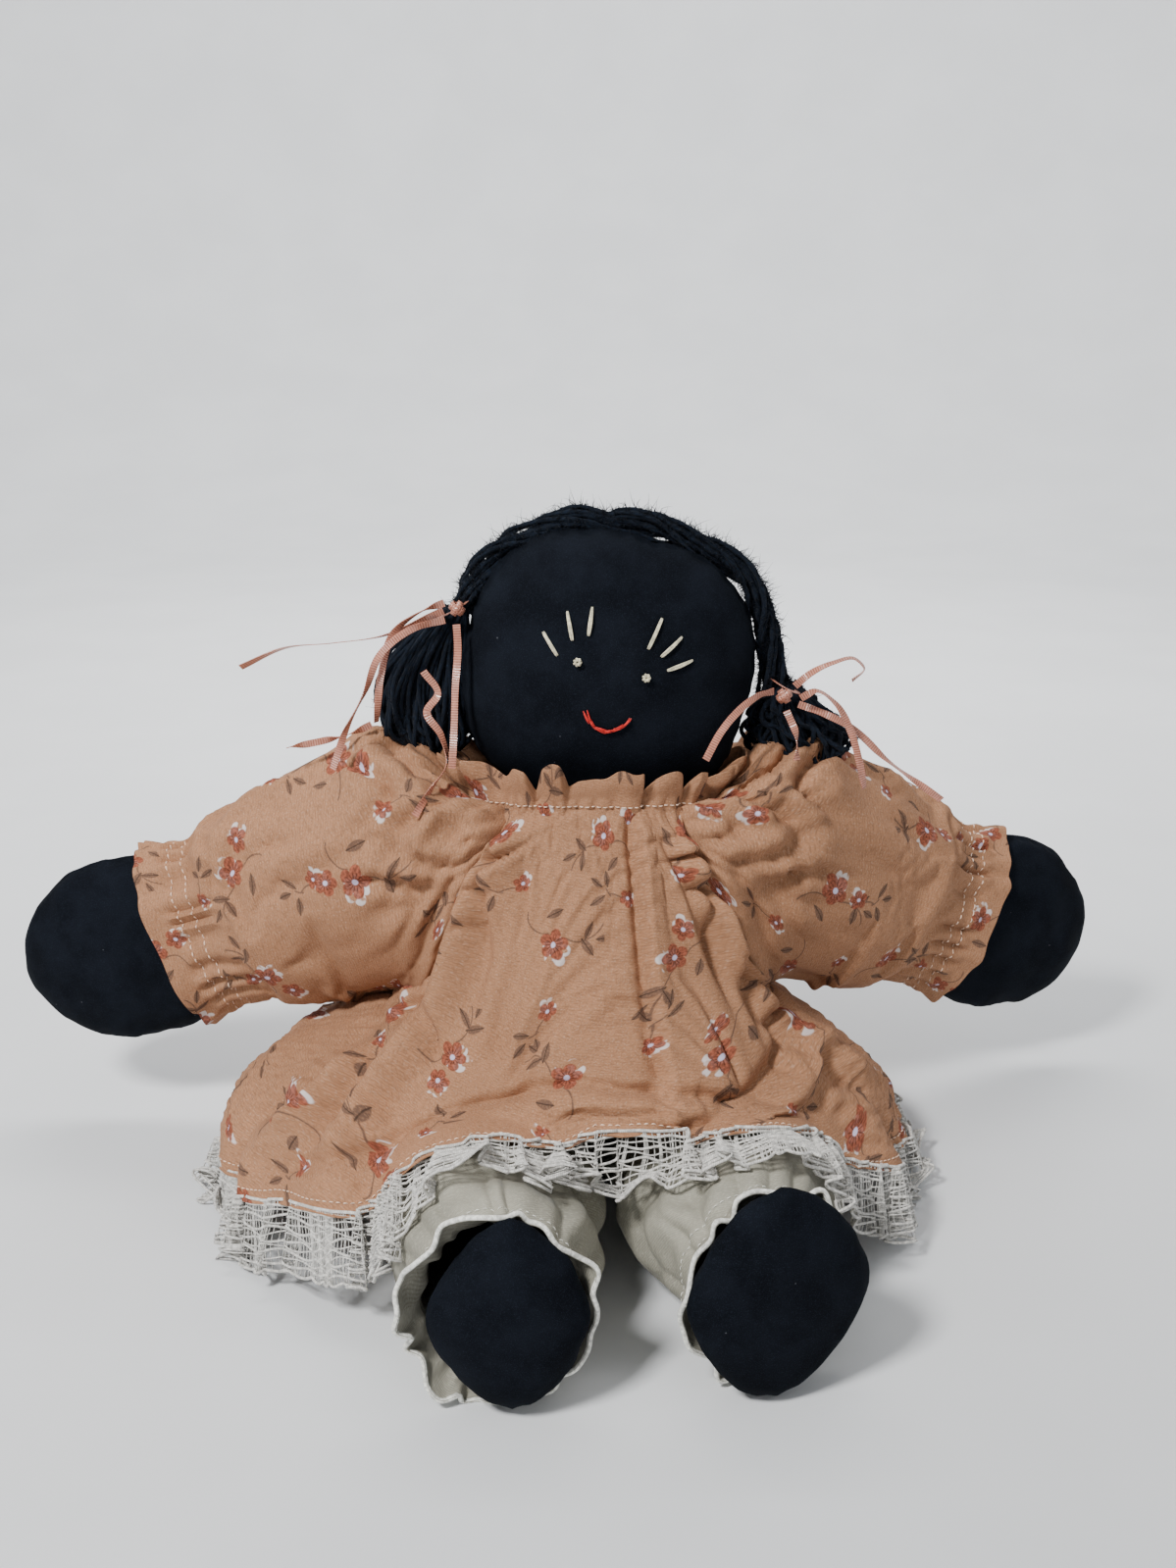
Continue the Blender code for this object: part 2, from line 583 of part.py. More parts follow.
def build_seat(group, cutters):
    """The pantaloons' seat: a cup round the body with a slit for each hip flap, and its waist elastic."""
    count = 28
    heights = np.array([s[0] for s in SEAT_STATIONS])
    table = flow(SEAT_STATIONS, heights)
    crease = 0.5 * MM * np.cos(SEAT_CREASES * angles(count))
    rings = [
        ring(np.array([0, 0, z * MM]), np.array([1, 0, 0]), np.array([0, 1, 0]), w * MM, d * MM,
             count, crease * min(1.0, z / 30))
        for z, (w, d) in zip(heights, table)
    ]
    faces = sew_grid(len(rings), count, True)
    faces.append(tuple(range(count))[::-1])
    seat = add_mesh("pantaloons_seat", np.array(rings).reshape(-1, 3), faces, "white_cotton", group)
    body = seat.modifiers.new("thickness", "SOLIDIFY")
    body.thickness = CLOTH
    body.offset = 0.0
    for side, sign in SIDES.items():
        half = HIP_FLAP_WIDTH / 2 + 2 * MM
        low = (sign * HIP_X - half, HIP_Y - 12 * MM, HIP_Z - 5 * MM)
        high = (sign * HIP_X + half, HIP_Y + 6 * MM, HIP_Z + 5 * MM)
        cut_by(seat, box(f"{side}_slit_cutter", low, high, cutters))
    ground = box("ground_cutter", (-GROUND_REACH,) * 3, (GROUND_REACH, GROUND_REACH, 0.0), cutters)
    cut_by(seat, ground)
    waist = [
        ring(np.array([0, 0, z]), np.array([1, 0, 0]), np.array([0, 1, 0]), 54.4 * MM, 37.2 * MM, 20)
        for z in (WAIST_LOW, WAIST_HIGH)
    ]
    cloth("waist_elastic", np.array(waist), "elastic", group, True, 0.9 * MM)


def leg_cover_height(x, y):
    """Height of the top of the pantaloon legs at places on the ground, or 0 beside them."""
    height = np.zeros_like(x)
    for side in SIDES:
        base, along, outward = leg_frame(side)
        away = np.stack([x - base[0], y - base[1]], axis=-1)
        reach = away @ along[:2]
        aside = away @ outward[:2]
        stations = PANTALOON_STATIONS + ANKLE_RUFFLE_STATIONS
        late = leg_lateness(reach / MM, LEG_EXTRA[side])
        reach = reach - LEG_EXTRA[side] * late * MM
        rows = flow(stations, reach.ravel() / MM) * MM
        a, b, z, shift = (rows[:, k].reshape(x.shape) for k in range(4))
        shift = shift - ANKLE_INWARD[side] * late * MM
        share = np.clip(1 - ((aside - shift) / (a + 3 * MM)) ** 2, 0, None)
        top = np.where(share > 0, z + (b + 2.8 * MM) * np.sqrt(share), 0.0)
        on_leg = (reach > stations[0][0] * MM) & (reach < stations[-1][0] * MM)
        height = np.maximum(height, np.where(on_leg, top, 0.0))
    return height


def dress_points(turn, share):
    """The dress's surface: turn is the angle round the body and share runs from neck to hem."""
    rows = flow(DRESS_STATIONS, share.ravel()) * MM
    right, left, front, back, z_front, z_side, z_back = (rows[:, k].reshape(share.shape) for k in range(7))
    middle = DRESS_MIDDLE_Y * np.clip(share / UNDERARM, 0, 1)
    cosine = np.cos(turn)
    sine = np.sin(turn)
    fullness = np.where(sine > 0, 1 - DRESS_SQUARENESS * share, 1.0)
    x = np.where(cosine > 0, left, right) * np.sign(cosine) * np.abs(cosine) ** fullness
    forward = np.sign(sine) * np.abs(sine) ** fullness
    y = middle + np.where(sine > 0, front - middle, middle - back) * forward
    power = np.where(cosine > 0, LIFT_POWER["left"], LIFT_POWER["right"])
    lift = np.where(sine > 0, (z_front - z_side) * np.abs(sine) ** power, (z_back - z_side) * sine**2)
    z = z_side + lift
    depth = SKIRT_FOLD_DEPTH * np.clip((share - 0.3) / 0.7, 0, 1)
    wave = depth * np.cos(SKIRT_FOLDS * turn)
    x = x + wave * cosine
    y = y - wave * sine
    z = np.maximum(z, leg_cover_height(x, y) + CLOTH)
    return np.stack([x, y, z], axis=-1)


def raglan_angle(share):
    """Half the angle that a front or back panel spans: narrow at the neck, half round from the underarm."""
    t = np.clip(share / UNDERARM, 0, 1)
    ease = t**RAGLAN_SWEEP
    widest = math.pi / 2 - SIDE_SEAM_SLIP
    return RAGLAN_HALF_ANGLE + (widest - RAGLAN_HALF_ANGLE) * ease


def build_dress(group):
    """Front and back panels with raglan edges, and gathered lace along each hem."""
    panels = (("dress_front", math.pi / 2, 35, 8), ("dress_back", -math.pi / 2, 27, 7))
    for name, facing, columns, rows in panels:
        share = np.linspace(0.0, 1.0, rows)[:, None] * np.ones(columns)
        across = np.linspace(-1.0, 1.0, columns)[None, :] * np.ones((rows, 1))
        turn = facing + across * raglan_angle(share)
        cloth(name, dress_points(turn, share), "calico", group, False)
    for name, facing, columns in (("hem_lace_front", math.pi / 2, 47), ("hem_lace_back", -math.pi / 2, 39)):
        widest = math.pi / 2 - SIDE_SEAM_SLIP
        turn = facing + np.linspace(-widest, widest, columns)
        hem = dress_points(turn, np.ones(columns))
        outward = np.stack([np.cos(turn), -np.sin(turn)], axis=-1)
        rows = []
        for t in (0.08, 0.54, 1.0):
            drop = LACE_WIDTH * t
            flare = drop * 0.72 + 1.6 * MM * t * np.cos(LACE_FOLDS * turn)
            row = hem.copy()
            row[:, :2] += outward * flare[:, None]
            row[:, 2] -= drop * 0.66
            least = leg_cover_height(row[:, 0], row[:, 1]) + 2 * CLOTH
            row[:, 2] = np.maximum(row[:, 2], np.maximum(least, LACE_LOWEST))
            rows.append(row)
        cloth(name, np.array(rows), "lace", group, False, 0.8 * MM)


def build_sleeve_cap(side, group):
    """The sleeve's raglan top, from the panels and the neck out to the flap, puffed over the shoulder."""
    sign = SIDES[side]
    hinge, level, pivot, along, upward, depth = arm_frame(side)
    facing = 1.0 if side == "left" else -1.0
    count = 8
    rise = np.linspace(UNDERARM, 0.0, count)
    front = math.pi / 2 - facing * raglan_angle(rise)
    back = -math.pi / 2 + facing * raglan_angle(rise)
    over = np.linspace(math.pi / 2 - RAGLAN_HALF_ANGLE, -math.pi / 2 + RAGLAN_HALF_ANGLE, count)[1:-1]
    over = over if side == "left" else math.pi - over
    turn = np.concatenate([front, over, back[::-1]])
    share = np.concatenate([rise, np.zeros(count - 2), rise[::-1]])
    seam = dress_points(turn, share)
    seam[:, 0] += sign * CAP_SLIP
    seam[:, 2] += CAP_SLIP * share / UNDERARM
    total = len(turn)
    place = (np.arange(total) + 0.5) / total
    swing = 2 * np.pi * place
    s, half_up, half_deep = CAP_END_STATION
    rim = (
        pivot + along * s * MM
        - np.cos(swing)[:, None] * upward * half_up * MM
        - np.sin(swing)[:, None] * depth * half_deep * MM
    )
    centre = (seam.mean(axis=0) + rim.mean(axis=0)) / 2
    rows = []
    for t in np.linspace(0.0, 1.0, 5):
        row = seam * (1 - t) + rim * t
        away = row - centre
        away[:, 0] = 0.0
        away /= np.linalg.norm(away, axis=1)[:, None]
        puff = CAP_PUFF * math.sin(math.pi * t) * np.clip(0.35 + 0.65 * away[:, 2], 0.1, 1.0)
        rows.append(row + away * puff[:, None])
    cloth(f"{side}_sleeve_cap", np.array(rows), "calico", group, True)


def neck_ring(height, spread, ripple, count):
    """A ring round the neck, higher over the shoulders than in front."""
    turn = angles(count)
    half = NECK_RING_HALF + spread
    swell = ripple * np.cos(NECK_RUFFLE_FOLDS * turn)
    x = NECK_RING_X + (half[0] + swell) * np.cos(turn)
    y = (half[1] + swell) * np.sin(turn)
    z = height + NECK_RING_SIDE_LIFT * np.cos(turn) ** 2
    return np.stack([x, y, z], axis=-1)


def build_neckline(group):
    """The elastic in the neck casing and the ruffle that stands above it."""
    low, high = NECK_ELASTIC_Z
    cloth("neck_elastic", np.array([neck_ring(low, 0, 0, 24), neck_ring(high, 0, 0, 24)]),
          "elastic", group, True, 0.9 * MM)
    low, high = NECK_RUFFLE_Z
    rows = [
        neck_ring(low + (high - low) * t, NECK_RUFFLE_SPREAD * t**1.5, 1.8 * MM * t, 40)
        for t in (0.0, 1.0)
    ]
    cloth("neck_ruffle", np.array(rows), "calico", group, True)


def joint_places():
    """Each moving body: its parent body, the point its joint turns on and the words its pieces' names hold."""
    places = {
        "neck": (None, NECK_LOW, ("neck",)),
        "head": ("neck", NECK_HIGH, ("head", "yarn_band", "mouth_stitch", "left_eye", "right_eye",
                                     "left_lash_1", "left_lash_2", "left_lash_3",
                                     "right_lash_1", "right_lash_2", "right_lash_3")),
    }
    for side in SIDES:
        hinge, pivot = arm_frame(side)[0], arm_frame(side)[2]
        tie = np.array(TIES[side]) * MM
        hip = np.array([SIDES[side] * HIP_X, HIP_Y, HIP_Z])
        splay = leg_frame(side)[0] + np.array([0.0, 0.0, HIP_Z])
        places[f"{side}_pigtail"] = ("head", tie, (f"{side}_pigtail", f"{side}_ribbon_knot",
                                                   *(name for name in TAILS if name.startswith(side))))
        places[f"{side}_shoulder_flap"] = (None, hinge, (f"{side}_shoulder_flap",))
        places[f"{side}_arm"] = (f"{side}_shoulder_flap", pivot, (
            f"{side}_arm", f"{side}_sleeve", f"{side}_wrist_elastic", f"{side}_cuff_ruffle"))
        places[f"{side}_hip_flap"] = (None, hip, (f"{side}_hip_flap",))
        places[f"{side}_leg"] = (f"{side}_hip_flap", splay, (
            f"{side}_leg", f"{side}_pantaloon_leg", f"{side}_ankle_elastic", f"{side}_ankle_ruffle"))
    return places


def hang_on_joints(group):
    """Give each moving body an empty on its joint, which carries the body's pieces."""
    empties = {}
    for body, (parent, point, pieces) in joint_places().items():
        point = Vector(point)
        empty = bpy.data.objects.new(f"{body}_joint", None)
        empty.empty_display_size = 10 * MM
        group.objects.link(empty)
        empties[body] = (empty, point)
        if parent:
            empty.parent, start = empties[parent]
            empty.location = point - start
        else:
            empty.location = point
        for name in pieces:
            piece = bpy.data.objects[name]
            piece.data.transform(Matrix.Translation(-point))
            piece.parent = empty


def main():
    """Build every piece of the doll."""
    clear_objects()
    doll = new_collection("rag_doll")
    cutters = new_collection("cutters")
    build_torso(doll)
    build_neck(doll)
    build_head(doll)
    build_face(doll)
    build_hair(doll)
    build_ribbons(doll)
    build_seat(doll, cutters)
    build_dress(doll)
    build_neckline(doll)
    for side in SIDES:
        build_arm(side, doll)
        build_leg(side, doll)
        build_sleeve_cap(side, doll)
    hang_on_joints(doll)


main()
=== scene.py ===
"""The looks of a seated rag doll: stuffed black cloth, yarn hair with ribbon bows, a gathered calico
dress with a lace hem, and twill pantaloons.

Run as a script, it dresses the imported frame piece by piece. Sizes in the functions are in millimetres
until they are put into a mesh. The doll faces -Y, its own left is at +X, and the ground is z = 0.
"""
import math

import bmesh
import bpy
import numpy as np
from mathutils import Matrix, Vector


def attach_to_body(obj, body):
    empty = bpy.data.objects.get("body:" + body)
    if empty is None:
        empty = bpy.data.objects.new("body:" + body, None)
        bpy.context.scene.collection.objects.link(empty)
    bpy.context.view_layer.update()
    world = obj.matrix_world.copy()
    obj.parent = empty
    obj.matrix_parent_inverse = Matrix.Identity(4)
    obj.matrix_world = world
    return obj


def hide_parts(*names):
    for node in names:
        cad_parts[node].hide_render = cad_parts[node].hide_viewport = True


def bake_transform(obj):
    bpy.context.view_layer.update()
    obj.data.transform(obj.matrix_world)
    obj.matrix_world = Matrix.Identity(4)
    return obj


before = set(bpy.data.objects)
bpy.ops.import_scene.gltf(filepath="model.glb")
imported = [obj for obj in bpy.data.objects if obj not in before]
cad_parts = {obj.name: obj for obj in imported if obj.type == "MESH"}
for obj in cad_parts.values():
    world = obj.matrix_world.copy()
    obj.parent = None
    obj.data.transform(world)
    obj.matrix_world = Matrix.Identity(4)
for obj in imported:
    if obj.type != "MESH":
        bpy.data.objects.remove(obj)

bl_info = {
    "name": "Rag doll",
    "version": (1, 0, 0),
    "blender": (4, 5, 0),
    "location": "3D View > Sidebar > Rag doll",
    "description": "Body, yarn hair, ribbons, calico dress, lace and pantaloons of a seated rag doll",
    "category": "Object",
}

MM = 0.001
SIDES = {"left": 1.0, "right": -1.0}
UP = np.array([0.0, 0.0, 1.0])
ACROSS = np.array([1.0, 0.0, 0.0])
BACK = np.array([0.0, 1.0, 0.0])
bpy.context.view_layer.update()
MATERIALS = {}
GARMENT = {}

# The body's driving sizes, as in the frame's own construction
HEAD_HALF = np.array([58.4, 33.0, 57.2])
HEAD_CENTRE = np.array([5.4, 0.0, 214.2])
HEAD_TILT = math.radians(11.5)
HEAD_SQUARENESS = 2.5
SHOULDER = np.array([50.2, 4.0, 129.0])
SHOULDER_TO_PIVOT = 27.8
ARM_SWUNG_BACK = {"left": math.radians(22.3), "right": math.radians(5.7)}
ARM_DROOP = {"left": math.radians(22.4), "right": math.radians(19.6)}
HIP = np.array([30.0, -36.4, 22.0])
HIP_TO_PIVOT = 19.3
LEG_SPLAY = {"left": math.radians(16), "right": math.radians(-1)}

# (height, half width, half depth)
TORSO_STATIONS = (
    (1.8, 24, 14), (2.2, 38, 22), (8, 47, 30), (22, 51, 34), (60, 51.5, 34.2),
    (104, 50.4, 33.2), (126, 50, 31), (137, 43, 26), (144, 27, 18), (146.2, 12, 8),
)
# (distance from the raising pivot, half height, half depth)
ARM_STATIONS = (
    (-16.9, 3.5, 1.0), (-13, 10.5, 2.8), (-3, 17, 7.6), (18, 21, 15.4), (54, 23.6, 18),
    (86, 31, 17), (112, 39.2, 17), (134, 42.4, 17.4), (156, 38.4, 15.8), (170, 30.4, 12.4),
    (180, 20, 8), (186.4, 7, 2.6),
)
# (distance from the splay pivot, half width, half height, height of the middle)
LEG_STATIONS = (
    (-11.6, 4, 1.0, 22), (-8, 8.6, 3.2, 22), (0, 12.4, 7.8, 22.8), (22, 21.2, 18.6, 26.2),
    (52, 23.6, 23.4, 29.4), (80, 21.4, 22.6, 30.6),
)
FOOT_STATIONS = {
    "left": ((94, 21.0, 24.4, 33.2), (103, 25.6, 30.8, 36.4), (110, 30.4, 37.8, 39.6),
             (117, 30.2, 37.6, 40.4), (121.4, 23.4, 29, 40.8), (123.4, 14, 18, 41), (124.4, 5, 7, 41)),
    "right": ((96, 20.0, 22.8, 32.6), (104, 21.8, 25.4, 34.0), (111, 25.2, 31.4, 36.6),
              (118, 26.8, 35.0, 37.4), (123.6, 22.4, 29.6, 37.8), (127.4, 13.4, 18, 38), (128.6, 5, 7, 38)),
}
LEG_EXTRA = {"left": 0.0, "right": 8.5}
ANKLE_INWARD = {"left": 0.9, "right": -1.8}
EXTRA_START = 42.0
EXTRA_END = 84.0
# How much a foot narrows toward its top and toward its bottom, and how far its top stands up
FOOT_TAPER = {"left": (0.05, 0.26, 0.4), "right": (0.17, 0.24, 1.8)}

# The calico dress, as (share of its length, reach to the doll's right, left, front and back,
# height in front, at the side and behind)
DRESS_STATIONS = (
    (0.00, 55, 54, -38.8, 38.5, 168.4, 164.4, 166.0),
    (0.20, 60, 57, -48, 45, 144, 141, 138),
    (0.42, 75, 69, -60, 50, 114, 84, 99),
    (0.50, 90, 81, -65, 53, 105, 72.5, 87),
    (0.65, 125, 102, -76, 61, 91, 58.5, 66),
    (0.85, 150, 121, -98, 73, 79, 38, 38),
    (1.00, 153, 129, -118, 82, 75, 19, 19),
)
DRESS_MIDDLE_Y = -18.0
DRESS_SQUARENESS = 0.24
UNDERARM = 0.42
RAGLAN_HALF_ANGLE = math.radians(40)
RAGLAN_SWEEP = 2.6
LIFT_POWER = {"left": 2.0, "right": 2.8}
PANEL_ROWS = 62
SEAM_ROWS = 28
PANEL_COLUMNS = {"front": 109, "back": 91}
CAP_ROWS = 16
FACINGS = {"front": math.pi / 2, "back": -math.pi / 2}
CAP_FOLD = {"left": 4.6, "right": 3.4}
CAP_PUFF = 19.0
SLEEVE_LIFT = {"left": 3.0, "right": 6.5}
# (distance from the raising pivot, half height, half depth)
SLEEVE_STATIONS = (
    (22.2, 43.4, 34.8), (24, 43.4, 34.8), (38, 44.2, 32.4), (54, 43.8, 29.8), (72, 41.0, 26.2),
    (90.6, 37.0, 21.2), (97.4, 37.6, 20.6), (104, 40.4, 22.0), (112.4, 43.6, 24.2),
)
CASING_START = 91.0
CASING_END = 97.8
SLEEVE_WIDTH = 290.0
# Where the front's two parts meet at the hem, and two places along -Y that are given with the leg's flap as
# the carrier of each front part
SPLIT_AT_HEM = 7.0
LAP_START = -64.0
LAP_END = -112.0
# The front's slanting folds, as (start, end, height, width), both ends as (sideways, share of the length)
FRONT_FOLDS = (
    ((-27, 0.05), (-100, 0.90), 9.5, 8.0),
    ((-74, 0.46), (-130, 0.86), 6.0, 6.0),
    ((33, 0.07), (62, 0.44), 6.0, 5.0),
    ((100, 0.46), (58, 0.92), 9.0, 7.5),
    ((62, 0.34), (122, 0.80), 6.5, 6.5),
)
PANEL_HEIGHT = 170.0
PANEL_FULLNESS = 0.85
NECK_COLUMNS = 28
NECK_RING_HALF = np.array([54.5, 38.5])
NECK_RING_X = -0.5
NECK_RING_SIDE_LIFT = -4.0
RUFFLE_HEIGHT = 24.0
LACE_WIDTH = 28.0
# (share of the lace's width, radius, sway)
LACE_CORDS = (
    (0.0, 0.72, 0.0), (0.07, 0.60, 0.01), (0.14, 0.34, 0.012), (0.22, 0.56, 0.02), (0.30, 0.34, 0.025),
    (0.38, 0.58, 0.03), (0.46, 0.34, 0.03), (0.54, 0.58, 0.032), (0.62, 0.34, 0.03), (0.70, 0.58, 0.03),
    (0.78, 0.34, 0.025), (0.86, 0.56, 0.02), (0.93, 0.66, 0.0),
)
LACE_ROWS = 13
LACE_COLUMNS = 800

# The settling of the dress, at SIM_SCALE times its size
SIM_SCALE = 10.0
SIM_FRAMES = 26
SIM_REACH = 9.0
SIM_GAP = 0.012
SIM_CLOTH = {
    "quality": 6, "mass": 0.25, "tension_stiffness": 22.0, "compression_stiffness": 22.0,
    "shear_stiffness": 9.0, "bending_stiffness": 1.6, "tension_damping": 8.0, "compression_damping": 8.0,
    "air_damping": 2.0, "shrink_min": -0.05,
}

# Pantaloons, as (distance from the splay pivot, half width, half height, height of the middle,
# shift outward)
PANTALOON_STATIONS = (
    (-7, 26.5, 25, 28.6, 0), (12, 33, 27.5, 30.6, 5), (42, 40.5, 29.6, 32.2, 10),
    (68, 36.4, 31.0, 33.6, 7.5), (84, 29.0, 32.0, 34.4, 4), (89, 26.8, 30.8, 34.2, 2.5),
    (94.2, 25.6, 30.2, 34.2, 2.2), (97, 26.2, 31.4, 34.8, 2.0), (101, 28.8, 34.8, 36.6, 2),
    (106.5, 30.8, 36.4, 37.6, 1.8),
)
SEAT_STATIONS = (
    (0.6, 40, 24), (3.2, 49.5, 31.5), (12, 54.6, 36.6), (30, 56.8, 38.6), (52, 56.2, 38.2),
    (71, 54.6, 37.4), (78, 54.6, 37.4),
)
SEAT_WIDTH = 330.0
LEG_WIDTH = 230.0

# The face, in the head's own upright plane: (sideways, up) from the head's middle
EYES = {"right": (-14.0, 9.2), "left": (13.0, 8.4)}
LASHES = {
    "right": (((-29, 17), (-22, 9.5)), ((-21.5, 26.5), (-17.5, 16.5)), ((-12.5, 30.0), (-11.8, 19.5))),
    "left": (((14.5, 31.0), (11.5, 19.0)), ((23.5, 25.5), (17.0, 17.0)), ((29.5, 17.5), (20.5, 12.2))),
}
MOUTH = ((-7.0, -9.4), (-2.8, -15.2), (4.0, -15.5), (8.2, -12.2), (10.2, -8.6))

# Hair and ribbons, in world millimetres
BAND_ROUTE = (
    (-56, 3, 241), (-50, 3, 252), (-37, 4, 267), (-20, 4, 275.8), (-4, 4, 278.4), (10, 4, 276.6),
    (27, 4, 275.2), (43, 4, 270.4), (57, 4, 261), (67.5, 4, 246), (73.4, 5, 229), (77, 5, 214),
    (78, 6, 204),
)
BUNDLES = {
    "right": ((-56, 3, 239.5, 5, 5), (-62, 5, 229, 11.5, 9), (-67.5, 7, 213, 18.6, 12),
              (-69, 7, 197, 19.4, 12.5), (-68, 6, 184, 15.6, 10.5), (-67, 6, 177, 8, 6)),
    "left": ((77, 6, 208.0, 5.4, 5), (79, 7, 201, 12, 9), (83, 8, 191, 19.4, 12.4),
             (86, 8, 183, 21.6, 13.4), (86, 7, 176.5, 17.4, 11.4), (86, 6, 173.4, 9, 6)),
}
KNOTS = {"right": (-54, -8, 242), "left": (76, -8, 206.5)}
TAILS = {
    "right_ribbon_long_tail": ((-59.4, -9, 241), (-68, -10, 237.5), (-82, -12, 232), (-103, -13, 229),
                               (-122, -13, 227), (-140, -12, 219)),
    "right_ribbon_curled_tail": ((-58.6, -13, 245), (-68, -14, 241.5), (-78, -15, 234), (-84, -15, 217),
                                 (-87, -14, 197)),
    "right_ribbon_outer_tail": ((-58.4, -14.5, 238.6), (-72, -17, 235), (-84, -18, 225), (-90, -18, 211),
                                (-99, -17, 194), (-105, -16, 178)),
    "right_ribbon_straight_tail": ((-54, -13, 236.4), (-53.4, -17, 228), (-54.4, -21, 213),
                                   (-55, -25, 197), (-56, -28, 182)),
    "right_ribbon_wavy_tail": ((-67, -18.5, 219), (-61.5, -19, 210), (-66, -20, 203), (-60.5, -22, 194),
                               (-58, -26, 184), (-64, -33, 175), (-70, -39, 166)),
    "right_ribbon_back_tail": ((-90.6, -3, 193), (-98, -5, 190), (-110, -6, 187), (-125, -6, 184)),
    "left_ribbon_looped_tail": ((80, -10.5, 211), (85.5, -12, 216.4), (94, -13, 221), (103, -13, 222.6),
                                (106.4, -14.5, 219), (101.6, -16, 214.6)),
    "left_ribbon_hooked_tail": ((82, -14, 207), (88, -16.5, 210.5), (95, -17.5, 206), (102, -17.5, 194),
                                (106, -17, 182), (109, -16, 170)),
    "left_ribbon_long_tail": ((82, -8.5, 203), (90, -10, 200.4), (103, -10, 194), (118, -10, 180.6),
                              (142, -10, 163)),
    "left_ribbon_face_tail": ((71.5, -11, 209), (65, -17, 208.8), (57, -24, 205), (49, -31, 197.6),
                              (43, -36, 188)),
    "left_ribbon_short_tail": ((76.6, -13.4, 201.6), (80.6, -16, 192), (81, -17, 182)),
}
RIBBON_WIDTH = 2.9

# The calico's print, which repeats about every PRINT_CELL in two sets of cells: flowers as (set, middle,
# reach, middle of the pale halo, its reach, whether in every cell), leaves as (set, middle, length,
# width, angle) and stems as (set, middle of their arc, radius, lowest angle, highest angle)
PRINT_CELL = 50.0
CALICO_PITCH = 1.3
FLOWERS = (
    ("first", (0.0, 0.0), 6.3, (-2.0, 1.8), 6.1, True),
    ("first", (10.2, 7.0), 4.9, (11.7, 8.3), 4.7, False),
    ("second", (3.4, -8.4), 3.7, (4.7, -9.2), 3.7, True),
)
LEAVES = (
    ("first", (-12.5, -5.0), 8.6, 3.3, 0.5), ("first", (-10.4, -10.6), 8.0, 3.0, 1.5),
    ("first", (-17.6, -10.2), 7.2, 2.8, -0.5), ("first", (6.0, -10.4), 8.2, 3.3, -0.9),
    ("second", (-4.8, 2.4), 7.6, 3.0, 0.45), ("second", (4.0, 3.8), 7.0, 2.8, -0.8),
    ("second", (0.2, 7.4), 6.8, 2.6, 1.5),
)
STEMS = (
    ("first", (-4.0, -15.6), 11.0, 1.5, 3.1), ("first", (9.4, -8.6), 7.8, 0.4, 2.3),
    ("second", (7.0, -2.0), 7.2, 2.5, 3.14), ("second", (-6.0, -6.0), 8.0, -0.6, 0.75),
)
PALE_THREAD = (0.50, 0.33, 0.23, 1.0)
HALO = (0.70, 0.64, 0.62, 1.0)
HEART = (0.60, 0.55, 0.70, 1.0)
LINT = (0.35, 0.34, 0.38, 1.0)
SEWN_WITHIN = 0.05
CUT_EDGE_ANGLE = math.radians(62)

# (name, place, aim, size, power)
LAMPS = (
    ("key", (-0.50, -0.68, 0.98), (0, -0.05, 0.13), 0.20, 17.5),
    ("fill", (0.9, -0.7, 0.8), (0, 0, 0.1), 0.9, 1.6),
    ("backdrop", (0.0, 0.6, 1.5), (0, 2.2, 0.5), 1.2, 56.0),
)


class ClothSettings(bpy.types.PropertyGroup):
    """Sizes and colours of the sewn cloth."""
    thickness: bpy.props.FloatProperty(
        name="Cloth thickness", description="Thickness of one layer of dress cloth",
        default=0.45 * MM, unit="LENGTH")
    calico: bpy.props.FloatVectorProperty(
        name="Calico", description="Ground colour of the printed dress cloth",
        default=(0.44, 0.220, 0.118), subtype="COLOR", size=3)
    petal: bpy.props.FloatVectorProperty(
        name="Petals", description="Colour of the printed flowers",
        default=(0.215, 0.060, 0.034), subtype="COLOR", size=3)
    leaf: bpy.props.FloatVectorProperty(
        name="Leaves", description="Colour of the printed leaves and stems",
        default=(0.105, 0.062, 0.046), subtype="COLOR", size=3)
    twill: bpy.props.FloatVectorProperty(
        name="Twill", description="Colour of the pantaloons",
        default=(0.33, 0.315, 0.255), subtype="COLOR", size=3)
    black: bpy.props.FloatVectorProperty(
        name="Black cloth", description="Colour of the stuffed body",
        default=(0.0040, 0.0052, 0.0078), subtype="COLOR", size=3)
    lace: bpy.props.FloatVectorProperty(
        name="Lace", description="Colour of the lace thread",
        default=(0.62, 0.60, 0.56), subtype="COLOR", size=3)


